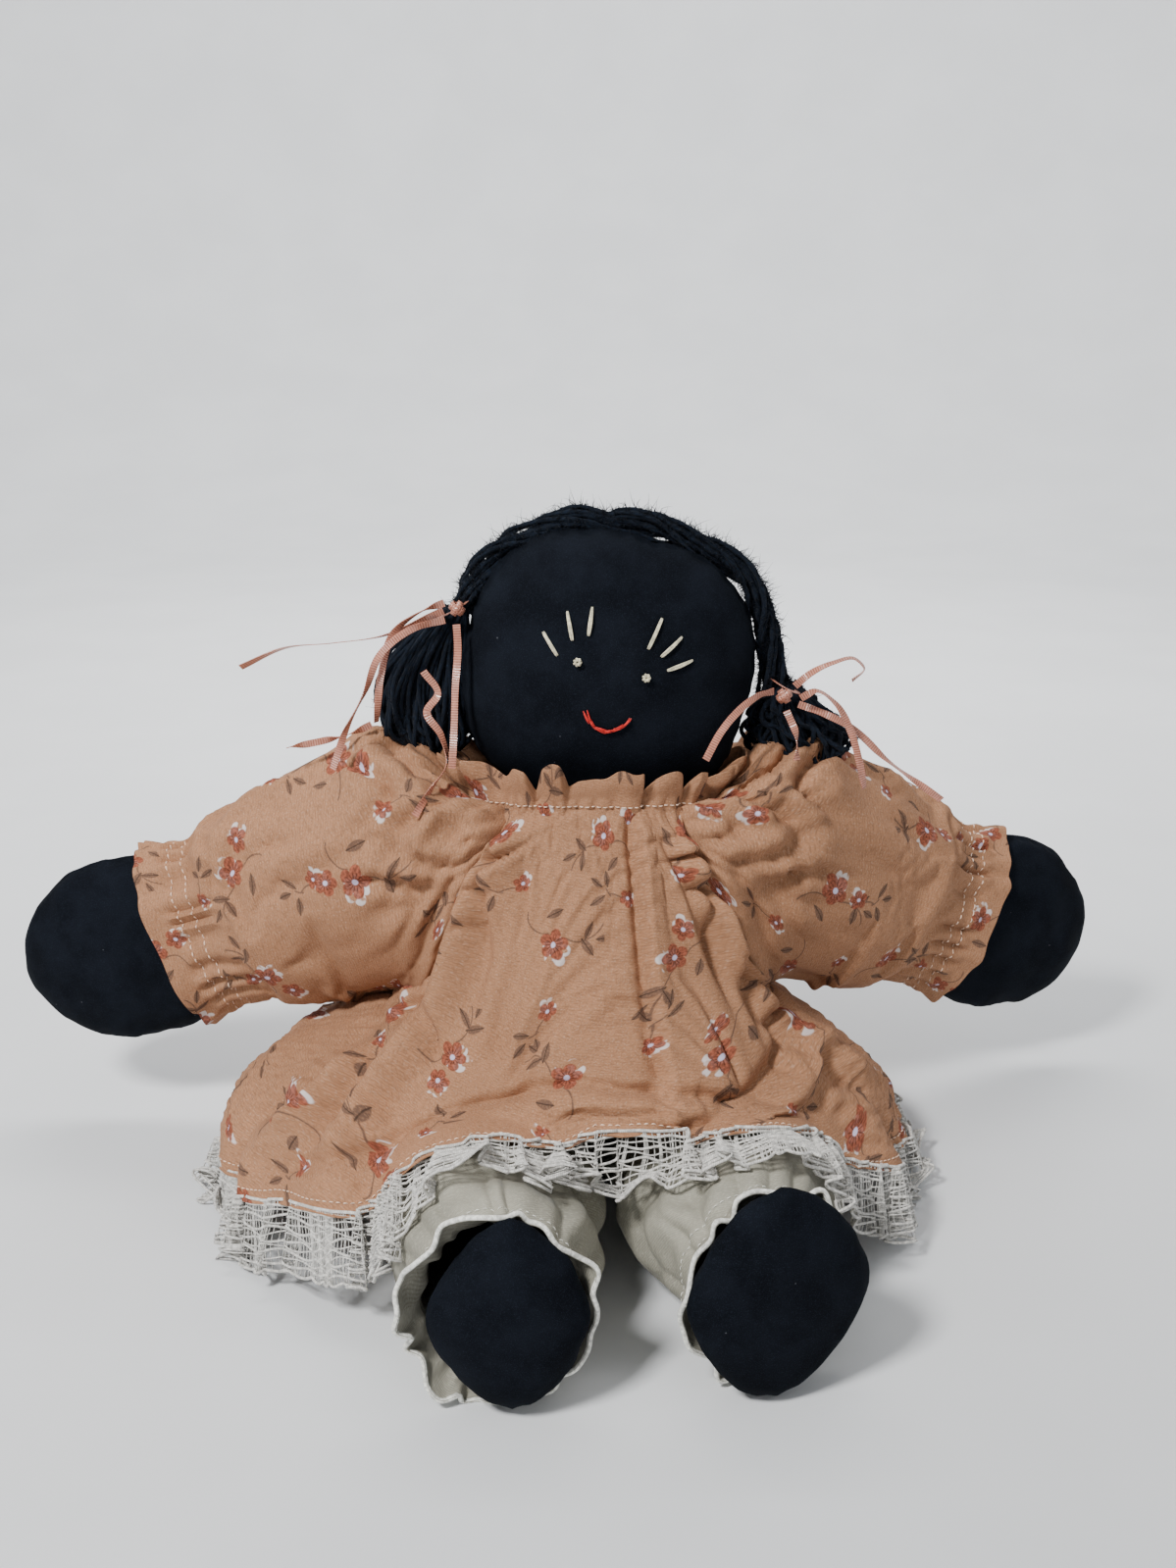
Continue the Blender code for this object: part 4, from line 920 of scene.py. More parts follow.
def leg_lateness(places, stretch=0.0):
    """How far along the lower leg a place is: 0 up to the thigh's end and 1 from the ankle on."""
    return np.clip((places - EXTRA_START) / (EXTRA_END + stretch - EXTRA_START), 0, 1)


def head_to_world(points):
    """Points in the head's own frame carried to the world."""
    matrix = np.array(Matrix.Translation(Vector(HEAD_CENTRE)) @ Matrix.Rotation(HEAD_TILT, 4, "Y"))
    return points @ matrix[:3, :3].T + matrix[:3, 3]


def on_face(points, proud=0.0):
    """World points on the face for (sideways, up) places, standing proud of the cloth: the depth is
    that of the head's superellipse, the root of 1 less the squared share of its outline."""
    flat = np.asarray(points, float)
    share = (np.abs(flat / HEAD_HALF[[0, 2]]) ** HEAD_SQUARENESS).sum(-1) ** (1 / HEAD_SQUARENESS)
    depth = HEAD_HALF[1] * np.sqrt(np.clip(1 - share**2, 0, 1))
    return head_to_world(np.stack([flat[..., 0], -depth - proud, flat[..., 1]], axis=-1))


# Stuffed pieces


def seam_pucker(turn, along, seed):
    """The pull of a seam on each side of a stuffed form: little dents beside the seam line, deeper
    at every stitch, and a thin raised line on it. Turn is measured from the seam."""
    near = np.abs(np.sin(turn))
    dents = 0.5 + 0.5 * np.cos(along * 2 * np.pi / 7.5 + 2 * ripple(along[..., None], 40.0, seed))
    return -1.1 * bump(near, 0.16, 0.10) * dents + 0.35 * bump(near, 0.0, 0.035)


def stuffed_limb(name, stations, base, along_way, across, upward, seed, taper=None):
    """A stuffed limb: rings of flowing half sizes along a line, with a seam down both edges, soft
    lumps of filling and dents where the cloth is drawn in. A leg's stations also give the middle's
    height, and its foot is drawn in toward the top and the bottom by its taper."""
    last = stations[-1][0]
    places = np.concatenate([np.linspace(stations[0][0], last, 96), np.linspace(stations[-2][0], last, 10)])
    places = np.unique(np.round(places, 4))
    table = flow(stations, places)
    turn = full_turn(80)
    half_up, half_across = table[:, :1], table[:, 1:2]
    centres = base + along_way * places[:, None]
    if taper is not None:
        half_across, half_up = half_up, half_across
        centres = centres + UP * table[:, 2:3]
        foot = step_up(places, 86, 108)[:, None]
        sine = np.sin(turn)
        narrower = np.where(sine > 0, taper[0] * np.abs(sine) ** 1.4, taper[1] * np.abs(sine) ** 1.3)
        half_across = half_across * (1 - foot * narrower)
        half_up = half_up + foot * taper[2] * bump(turn, np.pi / 2, 0.3)
    centres = centres[:, None]
    grid = rings(centres, across, upward, half_across, half_up, turn)
    fade = step_up(np.minimum(places - places[0], last - places)[:, None], 0.5, 12.0)
    swell = 0.8 * ripple(grid, 34.0, seed) + 0.35 * ripple(grid, 12.0, seed + 1)
    swell = swell + seam_pucker(turn + np.pi / 2, places[:, None] + 0 * turn, seed + 2) * 1.1
    grid = grid + unit(grid - centres) * (swell * fade)[..., None]
    grid[..., 2] = np.maximum(grid[..., 2], 0.3)
    stuffed_piece(name, grid)


def make_torso():
    """The body: rings of half width and half depth by height."""
    places = np.concatenate([[1.8], np.linspace(2.0, 8.0, 8), np.linspace(10, 144, 50), [145.4, 146.2]])
    table = flow(TORSO_STATIONS, places)
    turn = full_turn(64)
    centres = (UP * places[:, None])[:, None]
    grid = rings(centres, ACROSS, BACK, table[:, :1], table[:, 1:2], turn)
    fade = step_up(np.minimum(places - 1.8, 146.2 - places), 1.0, 14.0)[:, None]
    swell = (0.7 * ripple(grid, 40.0, 5) - 0.6 + seam_pucker(turn, places[:, None] + 0 * turn, 6)) * fade
    stuffed_piece("torso", grid + unit(grid - centres) * swell[..., None])


def make_neck():
    """The neck stub: a short leaning tube, domed at both ends."""
    low, high = np.array([0.0, 2.0, 148.4]), np.array([-4.0, 1.0, 156.4])
    t = np.linspace(0, np.pi, 24)[:, None]
    radius = 11.6 * np.sin(t) ** 0.4 + 0.3
    turn = full_turn(40)
    centres = (low + (high - low) * (1 - np.cos(t)) / 2)[:, None]
    puckers = 0.25 * np.cos(9 * turn) * np.sin(t)
    stuffed_piece("neck", rings(centres, ACROSS, BACK, radius, radius * 0.9, turn, puckers))


def make_head():
    """The head: a flattened ball whose outline is a superellipse, |x/a|^p + |z/b|^p = 1, with its seam
    round the outline."""
    tilt = np.linspace(0.02, np.pi - 0.02, 88)[:, None]
    turn = full_turn(168)
    cosine, sine = np.cos(turn), np.sin(turn)
    reach = np.abs(cosine) ** HEAD_SQUARENESS + np.abs(sine) ** HEAD_SQUARENESS
    fuller = 1 / reach ** (1 / HEAD_SQUARENESS)
    out = fuller * np.sin(tilt)
    grid = stacked(cosine * out, -np.cos(tilt), sine * out) * HEAD_HALF
    near_seam = np.cos(tilt) + 0 * turn
    reach = turn * 56.0 + 0 * tilt
    dents = 0.5 + 0.5 * np.cos(reach * 2 * np.pi / 8.8 + 2 * ripple(reach[..., None], 50.0, 3))
    swell = 0.45 * ripple(grid, 30.0, 21) - 0.4
    swell -= 1.3 * dents * (bump(near_seam, 0.13, 0.09) + bump(near_seam, -0.13, 0.09))
    swell += 0.5 * bump(near_seam, 0.0, 0.025)
    swell -= 1.6 * bump(turn, np.pi / 2 - 0.12, 0.09) * bump(near_seam, 0.0, 0.5)
    swell *= np.clip(np.sin(tilt) * 3, 0.2, 1)
    stuffed_piece("head", head_to_world(grid + unit(grid) * swell[..., None]))


def make_flap(name, hinge, along, tall, length, height):
    """An unstuffed strip of cloth: a lens across its thickness, 1 less the fourth power of the place."""
    t = np.linspace(-1, 1, 15)
    thick = 1.2 * (1 - t**4) + 0.12
    thin = np.cross(along, tall)
    share = np.linspace(-0.5, 0.5, 33)[:, None]
    wave = 0.35 * np.cos(share * 2 * np.pi * 6) * np.ones((1, 30))
    outline = np.concatenate([np.stack([t, thick], 1), np.stack([t, -thick], 1)[::-1]])
    stuffed_piece(name, (
        hinge + along * (length / 2 - 0.5) + tall * (share * height)[..., None]
        + along * (outline[:, 0] * length / 2)[None, :, None]
        + thin * (outline[:, 1][None, :] + wave)[..., None]
    ))


def make_limbs():
    """Both arms and both legs with their unstuffed flaps."""
    for side, sign in SIDES.items():
        level, pivot, along, upward, depth = arm_frame(side)
        seed = 30 if side == "left" else 40
        stuffed_limb(f"{side}_arm", ARM_STATIONS, pivot, along, depth, upward, seed)
        base, leg_way, aside = leg_frame(side)
        stations = LEG_STATIONS + FOOT_STATIONS[side]
        stuffed_limb(f"{side}_leg", stations, base, leg_way, aside, UP, seed + 4, FOOT_TAPER[side])
        make_flap(f"{side}_shoulder_flap", SHOULDER * (sign, 1, 1), level, UP, 8.4, 29.0)
        make_flap(f"{side}_hip_flap", HIP * (sign, 1, 1), -BACK, ACROSS, 5.0, 27.0)


# Face


def make_eyes():
    """Knotted eyes: a thread that winds seven times round a small ring."""
    for side, place in EYES.items():
        t = np.linspace(0, 2 * np.pi, 150)
        ring = 1 + 0.35 * np.cos(7 * t)
        wrap = np.stack([np.cos(t) * ring, np.sin(7 * t) * 0.63, np.sin(t) * ring], 1)
        parts = [tubes((on_face(place, 1.3) + wrap)[None], 0.46, 6, (0.2, 0.1, 0.97))]
        attach(strand_piece(f"{side}_eye", parts, "cream"), "cream_thread", "head", f"{side}_eye")


def make_lashes():
    """Long single lash stitches, each of two strands that twist a little and arch over the cloth."""
    t = np.linspace(0, 1, 26)
    sag = np.sqrt(np.clip(np.sin(np.pi * t), 0, 1))
    for side, lashes in LASHES.items():
        for number, (high, low) in enumerate(np.array(lashes, float), 1):
            line = high + (low - high) * t[:, None]
            square = unit(np.array([high[1] - low[1], low[0] - high[0]]))
            strands = []
            for shift in (-0.36, 0.36):
                weave = 0.6 + 0.4 * sag + np.cos(t * 5 + number + shift) * 0.18
                lying = on_face(line + square * shift * weave[:, None])
                strands.append(lying - BACK * (0.9 * sag - 0.25)[:, None])
            name = f"{side}_lash_{number}"
            parts = [tubes(np.array(strands), 0.42 * (0.5 + 0.5 * sag), 7)]
            attach(strand_piece(name, parts, "cream"), "cream_thread", "head", name)


def make_mouth():
    """The mouth: small back stitches of three strands along one curve."""
    smile = smooth_route([(x, z, 0) for x, z in MOUTH], 61)[:, :2]
    source = np.random.default_rng(8)
    t = np.linspace(0, 1, 12)
    arch = np.sin(np.pi * t)
    parts = []
    for start in (0, 9, 19, 28, 38, 48):
        for strand in range(3):
            ends = smile[[start, min(start + 13, 60)]] + source.normal(0, 0.42, (2, 2))
            line = on_face(ends[0] + (ends[1] - ends[0]) * t[:, None])
            path = line - BACK * (0.95 * np.sqrt(arch) - 0.2 + 0.1 * strand)[:, None]
            parts.append(tubes(path[None], 0.40 * (0.55 + 0.45 * arch), 6))
    attach(strand_piece("mouth_stitch", parts, "red"), "red_thread", "head", "mouth_stitch")


# Hair


def even_spread(count):
    """Angles and shares of the radius that spread points evenly over a disc: the golden angle."""
    return np.arange(count)[:, None] * 2.399963, np.sqrt((np.arange(count)[:, None] + 0.5) / count)


def fuzz(roots, ways, count, length, seed):
    """Loose fibres: thin hairs that leave the yarn, curve away and curl, as a quadratic bend with a
    sideways wave."""
    source = np.random.default_rng(seed)
    pick = source.integers(0, len(roots), count)
    away = unit(ways[pick] + source.normal(0, 0.9, (count, 3)))
    bend = unit(source.normal(0, 1, (count, 3)))
    reach = ((0.25 + source.uniform(0.0, 0.75, (count, 1)) ** 2.4) * length)[:, None]
    t = np.linspace(0, 1, 4)[None, :, None]
    curl = np.cross(away, bend)[:, None] * np.sin(t * 4.0) * 0.25
    paths = roots[pick][:, None] + (away[:, None] * t + bend[:, None] * t**2 * 0.9 + curl) * reach
    return tubes(paths, (0.19 * (1.05 - t))[..., 0], 3)


def bundle_strands(line, half, count, twist, seed, wander):
    """Strands that run side by side along a line: each keeps its place in a round bundle of the given
    half width, which turns slowly and wanders."""
    source = np.random.default_rng(seed)
    along = unit(np.gradient(line, axis=0))
    side = unit(np.cross(along, BACK))
    other = np.cross(along, side)
    golden, spread = even_spread(count)
    s = np.linspace(0, 1, len(line))
    phase = golden + twist * s + wander * np.sin(source.uniform(0, 6, (count, 1)) + 9 * s)
    out = spread * half * (1 + wander * np.sin(source.uniform(0, 6, (count, 1)) + 14 * s))
    return line + side * (np.cos(phase) * out)[..., None] + other * (np.sin(phase) * out)[..., None]


def make_band():
    """The yarn band: strands laid side by side over the head, drawn in where it is tacked, with fuzz."""
    line = smooth_route(BAND_ROUTE, 170)
    s = np.linspace(0, 1, 170)
    half = 5.0 - 1.3 * bump(s, 0.40, 0.022) - 0.8 * bump(s, 0.0, 0.03) + 1.2 * step_up(s, 0.72, 0.86)
    half = half + 0.4 * np.sin(s * 60) * np.sin(s * 23)
    inward = unit((HEAD_CENTRE - line) * (1, 0, 1))
    closer = 3.7 + 1.3 * bump(s, 0.22, 0.08) + 1.3 * bump(s, 0.60, 0.07)
    closer = closer - 0.9 * bump(s, 0.44, 0.08) - 1.6 * bump(s, 0.76, 0.07)
    line = line - UP * (1.2 * bump(s, 0.40, 0.03))[:, None] + inward * closer[:, None]
    paths = bundle_strands(line, half, 24, 10.0, 51, 0.34)
    radius = bpy.context.scene.doll_trim.yarn_radius / MM
    core = tubes(paths, radius * (1 + 0.18 * np.sin(s * 140 + 1.0)), 5)
    lean = 0.3 * np.cross(unit(np.gradient(line, axis=0)), BACK)
    ways = unit(paths - line + lean).reshape(-1, 3)
    hairs = fuzz(paths.reshape(-1, 3) + ways * 0.8, ways, 6400, 6.5, 52)
    attach(strand_piece("yarn_band", [core, hairs], "yarn"), "yarn", "head", "yarn_band")


def make_pigtail(side):
    """One bundle of yarn below its tie: loops on the doll's right, cut ends on its left. Each strand
    keeps a share of the bundle's half widths and sways as it goes down."""
    source = np.random.default_rng(61 if side == "left" else 71)
    stations = np.array(BUNDLES[side], float)
    depth = run_along(stations[:, :3])
    count, steps = 120, 36
    t = np.linspace(0, 1, steps)
    golden, spread = even_spread(count)
    length = source.uniform(0.80, 1.0, (count, 1))
    if side == "right":
        run = np.abs(np.sin(np.pi * t)) ** 0.85
        phase = golden + (t - 0.5) * source.uniform(0.5, 1.5, (count, 1))
    else:
        run = t
        phase = golden + 0.4 * t + 0.25 * np.sin(5 * t + source.uniform(0, 6, (count, 1)))
    rows = flow(np.column_stack([depth, stations]), (run * length * depth[-1]).ravel())
    rows = rows.reshape(count, steps, 5)
    wave = 1 + 0.14 * np.sin(15 * t + source.uniform(0, 6, (count, 1)))
    paths = rows[..., :3].copy()
    paths[..., 0] += np.cos(phase) * spread * (rows[..., 3] - 0.2) * wave
    paths[..., 1] += np.sin(phase) * spread * (rows[..., 4] - 0.5) * wave
    paths[..., 2] += 0.9 * np.sin(19 * t + source.uniform(0, 6, (count, 1)))
    core = tubes(paths, bpy.context.scene.doll_trim.yarn_radius / MM, 5)
    ways = unit(paths - rows[..., :3]).reshape(-1, 3)
    name = f"{side}_pigtail"
    flyaways = fuzz(paths.reshape(-1, 3), ways, 5600, 5.5, 62)
    attach(strand_piece(name, [core, flyaways], "yarn"), "yarn", name, name)


# Ribbons


def ribbon_strip(line, twist, width, thickness, facing=BACK):
    """A flat strip along a line, its width turned about the line by the twist at each point: four
    corners to a section, closed at both ends."""
    along = unit(np.gradient(line, axis=0))
    wide = unit(np.cross(along, facing))
    thin = np.cross(wide, along)
    turn = np.broadcast_to(np.asarray(twist, float), (len(line),))[:, None]
    flat_way = wide * np.cos(turn) + thin * np.sin(turn)
    up_way = np.cross(flat_way, along)
    corners = [line + flat_way * a * width / 2 + up_way * b * thickness / 2
               for a, b in ((-1, -1), (1, -1), (1, 1), (-1, 1))]
    steps = len(line)
    ends = [[3, 2, 1, 0], [(steps - 1) * 4 + k for k in range(4)]]
    flat = stacked(np.array([0.0, 1.0, 1.0, 0.0]) * width, run_along(line)[:, None]) * MM
    return np.stack(corners, axis=1).reshape(-1, 3), [grid_quads(steps, 4, True), ends], flat.reshape(-1, 2)


def make_tails():
    """The bows' tails as twisting satin strips of their real length."""
    t = np.linspace(0, 1, 90)
    for number, (name, route) in enumerate(TAILS.items()):
        line = smooth_route(route, 90)
        twist = (0.9 * np.sin(3.0 * t * (1 + number % 3) + number) + 0.5) * step_up(t, 0.0, 0.15)
        obj = strand_piece(name, [ribbon_strip(line, twist, RIBBON_WIDTH, 0.3)], "satin")
        obj.data.set_sharp_from_angle(angle=math.radians(40))
        attach(obj, "satin_ribbon", f"{name.split('_')[0]}_pigtail", name)


def make_knot(side):
    """A bow's knot: a turn of ribbon round the yarn and three crossed turns over it in front."""
    sign = SIDES[side]
    centre = np.array(KNOTS[side], float)
    tie = np.array(BUNDLES[side][0][:3], float)
    t = np.linspace(0, 2 * np.pi, 60)
    lean = 0.5 * sign
    middle = np.array([tie[0], (tie[1] + centre[1]) / 2 + 3.0, tie[2] + 1.0])
    across = 6.6 * np.array([math.cos(lean), 0.0, -math.sin(lean)])
    wrap = middle + across * np.cos(t)[:, None] + BACK * 8.2 * np.sin(t)[:, None]
    parts = [ribbon_strip(wrap, np.full(60, 1.57), RIBBON_WIDTH * 0.9, 0.22)]
    for turned_by in (0.5, 2.2, 3.9):
        angle = turned_by * sign
        way = np.array([math.cos(angle), 0.0, math.sin(angle)])
        loop = centre - BACK + way * 3.0 * np.cos(t)[:, None] + BACK * 2.4 * np.sin(t)[:, None]
        square = np.array([-math.sin(angle), 0.0, math.cos(angle)])
        parts.append(ribbon_strip(loop, np.full(60, 1.57), RIBBON_WIDTH * 0.9, 0.3, square))
    name = f"{side}_ribbon_knot"
    attach(strand_piece(name, parts, "satin"), "satin_ribbon", f"{side}_pigtail", name)


# Dress


def leg_cover_height(x, y):
    """Height of the top of the pantaloon legs at places on the ground, or 0 beside them."""
    height = np.zeros_like(x)
    for side in SIDES:
        base, along, outward_way = leg_frame(side)
        away = np.stack([x - base[0], y - base[1]], axis=-1)
        reach, aside = away @ along[:2], away @ outward_way[:2]
        late = leg_lateness(reach, LEG_EXTRA[side])
        reach = reach - LEG_EXTRA[side] * late
        a, b, z, shift = (row.reshape(x.shape) for row in flow(PANTALOON_STATIONS, reach.ravel()).T)
        shift = shift - ANKLE_INWARD[side] * late
        share = np.clip(1 - ((aside - shift) / (a + 3)) ** 2, 0, None)
        top = np.where(share > 0, z + (b + 2.8) * np.sqrt(share), 0.0)
        on_leg = (reach > PANTALOON_STATIONS[0][0]) & (reach < PANTALOON_STATIONS[-1][0])
        height = np.maximum(height, np.where(on_leg, top, 0.0))
    return height


def clear_of_legs(points, least):
    """Points raised where needed to stand that far above the legs."""
    raised = points.copy()
    raised[..., 2] = np.maximum(points[..., 2], leg_cover_height(points[..., 0], points[..., 1]) + least)
    return raised


def dress_points(turn, share):
    """The dress's plain surface: turn is the angle round the body and share runs from neck to hem.
    In front, sine and cosine are raised to a power under 1, which fills the corners out, and the hem
    reaches farther forward and lower over the doll's right leg."""
    rows = flow(DRESS_STATIONS, share.ravel())
    right, left, front, back, z_front, z_side, z_back = (rows[:, k].reshape(share.shape) for k in range(7))
    middle = DRESS_MIDDLE_Y * np.clip(share / UNDERARM, 0, 1)
    cosine, sine = np.cos(turn), np.sin(turn)
    fullness = np.where(sine > 0, 1 - DRESS_SQUARENESS * share, 1.0)
    x = np.where(cosine > 0, left, right) * np.sign(cosine) * np.abs(cosine) ** fullness
    depth = np.where(sine > 0, front - middle, middle - back)
    y = middle + depth * np.sign(sine) * np.abs(sine) ** fullness
    power = np.where(cosine > 0, LIFT_POWER["left"], LIFT_POWER["right"])
    lift = np.where(sine > 0, (z_front - z_side) * np.abs(sine) ** power, (z_back - z_side) * sine**2)
    over_leg = bump(x, -88.0, 46.0) * step_up(share, 0.55, 1.0) * step_up(sine, 0.0, 0.5)
    y = y - 12.0 * over_leg
    lift = lift - 8.0 * over_leg
    z = np.maximum(z_side + lift, leg_cover_height(x, y) + 1.0)
    return np.stack([x, y, z], axis=-1)


def raglan_angle(share):
    """Half the angle that a panel spans: narrow at the neck, half round from the underarm down."""
    t = np.clip(share / UNDERARM, 0, 1)
    return RAGLAN_HALF_ANGLE + (np.pi / 2 - RAGLAN_HALF_ANGLE) * t**RAGLAN_SWEEP


def panel_shares():
    """The rows of a panel: an even run down the raglan seam, then an even run to the hem."""
    skirt = np.linspace(UNDERARM, 1.0, PANEL_ROWS - SEAM_ROWS + 1)[1:]
    return np.concatenate([np.linspace(0.0, UNDERARM, SEAM_ROWS), skirt])


def panel_turns(facing, columns):
    """The angles and shares of a panel's grid."""
    share = panel_shares()[:, None] * np.ones(columns)
    return facing + np.linspace(-1.0, 1.0, columns)[None, :] * raglan_angle(share), share


def from_body(points):
    """Level directions away from the dress's middle line."""
    return unit((points - BACK * DRESS_MIDDLE_Y * 0.6) * (1, 1, 0))


def free_of_seam(turn, share, facing):
    """Distance in from the raglan seam as an angle, and a share that is 0 on the seam."""
    inside = raglan_angle(share) - np.abs(turn - facing)
    return inside, np.where(share < UNDERARM, step_up(inside, 0.0, 0.11), 1.0)


def drape(points, turn, share, facing):
    """The dress's gathers, in millimetres outward: close under the neck, opening into fewer pleats and
    then into broad waves, with ridges that fan out from the raglan seams."""
    sine = np.sin(turn)
    spot = np.stack([np.cos(turn), sine, 1.6 * share], axis=-1)
    wander = ripple(spot, 1.1, 81)
    sides = 1 - step_up(sine, 0.2, 0.7) * 0.80 * (1 - step_up(np.abs(np.cos(turn)), 0.40, 0.62))
    out = 1.3 * sides * pleats(40 * turn + 2.6 * wander) * (1 - step_up(share, 0.04, 0.16))
    opening = step_up(share, 0.01, 0.12) * (1 - step_up(share, 0.24, 0.56))
    out = out + 3.2 * sides * pleats(17 * turn + 3.0 * wander + 1.0) * opening
    side_waves = 1 - 0.70 * step_up(sine, 0.4, 0.9)
    out = out + 4.4 * side_waves * pleats(10 * turn + 1.7 * wander + 0.6, 1.2) * step_up(share, 0.40, 1.0)
    out = out + 1.5 * step_up(share, 0.12, 0.5) * ripple(points, 30.0, 84)
    inside, keep = free_of_seam(turn, share, facing)
    fans = pleats(share * 2 * np.pi / 0.085 + 3.0 * ripple(spot, 0.8, 86) + inside * 3.0, 0.7)
    near_seam = bump(inside, 0.17, 0.13) * (share < UNDERARM + 0.05) * step_up(share, 0.05, 0.16)
    out = out + 3.0 * fans * near_seam
    out = out * keep * (0.45 + 0.55 * step_up(share, 0.0, 0.03))
    return clear_of_legs(points + from_body(points) * out[..., None], 1.0)


def front_folds(points):
    """The front panel's own big folds, laid on the settled cloth: a pleat with a sharp edge left of the
    middle, the slanting folds of FRONT_FOLDS, and a crease and a roll over the lap."""
    turn, share = panel_turns(math.pi / 2, PANEL_COLUMNS["front"])
    x = points[..., 0]
    pleat = x - 16.0 - 13.0 * share
    near = step_up(share, 0.0, 0.08) * (1 - step_up(share, 0.84, 0.96))
    front = 5.4 * np.exp(-np.clip(pleat, 0, None) / 13.0) * step_up(pleat, -1.8, 0.9) * near
    front = front - 3.4 * bump(pleat, -3.0, 2.3) * near
    for start, end, height, width in FRONT_FOLDS:
        ridge = start[0] + (end[0] - start[0]) * np.clip((share - start[1]) / (end[1] - start[1]), 0, 1)
        fade = step_up(share, start[1] - 0.04, start[1] + 0.10)
        fade = fade * (1 - step_up(share, end[1] - 0.10, end[1] + 0.04))
        hollow = 0.60 * bump(x, ridge - 1.8 * width, width * 0.6)
        front = front + height * fade * (bump(x, ridge, width) - hollow)
    lap_share = 0.80 + 0.030 * np.sin(x / 24.0 + 0.6) + 0.0009 * np.clip(-30.0 - x, 0, None)
    over_lap = 1 - step_up(np.abs(x + 20), 80, 118)
    swell, tuck = bump(share, lap_share + 0.058, 0.034), bump(share, lap_share, 0.020)
    front = front + over_lap * (2.4 * swell - 4.4 * tuck)
    front = front * step_up(np.sin(turn), -0.1, 0.35) * free_of_seam(turn, share, math.pi / 2)[1]
    moved = points + (from_body(points) * 0.86 + UP * 0.5) * front[..., None]
    return clear_of_legs(moved, 0.8 + 2.8 * step_up(share, 0.4, 0.6))


def cap_folds(grid, side):
    """Soft folds on the settled shoulder cap that run down from the neck beside the raglan seam, and
    the rows round the cap's rim evened out, each moved toward the mean of its neighbours."""
    _, _, along, _, _ = arm_frame(side)
    swing = sleeve_swing()
    count = CAP_ROWS + 8
    t = np.linspace(0, 1, count)[:, None]
    rows = grid[:count]
    out = rows - rows.mean(axis=1, keepdims=True)
    out = unit(out - (out @ along)[..., None] * along)
    spot = stacked(np.cos(swing), np.sin(swing), 0.6 * t)
    wave = pleats(t * 2 * np.pi / 0.21 + 3.2 * ripple(spot, 1.0, 97) + 1.2 * swing, 0.75)
    high = 1 - 0.75 * step_up(np.cos(swing), -0.2, 0.7)
    fade = step_up(t, 0.02, 0.14) * (1 - step_up(t, 0.40, 0.74))
    folded = grid.copy()
    folded[:count] = rows + out * (CAP_FOLD[side] * wave * high * fade)[..., None]
    for _ in range(14):
        part = folded[CAP_ROWS - 5:CAP_ROWS + 6]
        folded[CAP_ROWS - 4:CAP_ROWS + 5] = (part[:-2] + 2 * part[1:-1] + part[2:]) / 4
    return folded


def sleeve_swing():
    """The angles round a sleeve, from its lower side."""
    total = 2 * SEAM_ROWS + NECK_COLUMNS
    return 2 * np.pi * (np.arange(total) + 0.5)[None, :] / total


def sleeve_places():
    """The distances along the arm of a sleeve's rings, from the cap's rim to the cuff's edge."""
    return np.concatenate([
        np.linspace(SLEEVE_STATIONS[0][0], CASING_START, 26)[1:],
        np.linspace(CASING_START, CASING_END, 5)[1:],
        np.linspace(CASING_END, SLEEVE_STATIONS[-1][0], 8)[1:],
    ])


def sleeve_rings(side, s, swell=0.0):
    """Rings of the sleeve's half sizes, whose upper half stands above its round up to the casing."""
    _, pivot, along, upward, depth = arm_frame(side)
    swing = sleeve_swing()
    table = flow(SLEEVE_STATIONS, s)
    reach = s[:, None]
    high = step_up(reach, -10.0, 34.0) * (1 - step_up(reach, 78.0, 91.0))
    swell = swell + SLEEVE_LIFT[side] * high * np.clip(0.5 - 0.5 * np.cos(swing), 0, 1) ** 2
    centres = (pivot + along * reach)[:, None]
    return rings(centres, -upward, -depth, table[:, :1], table[:, 1:2], swing, swell)


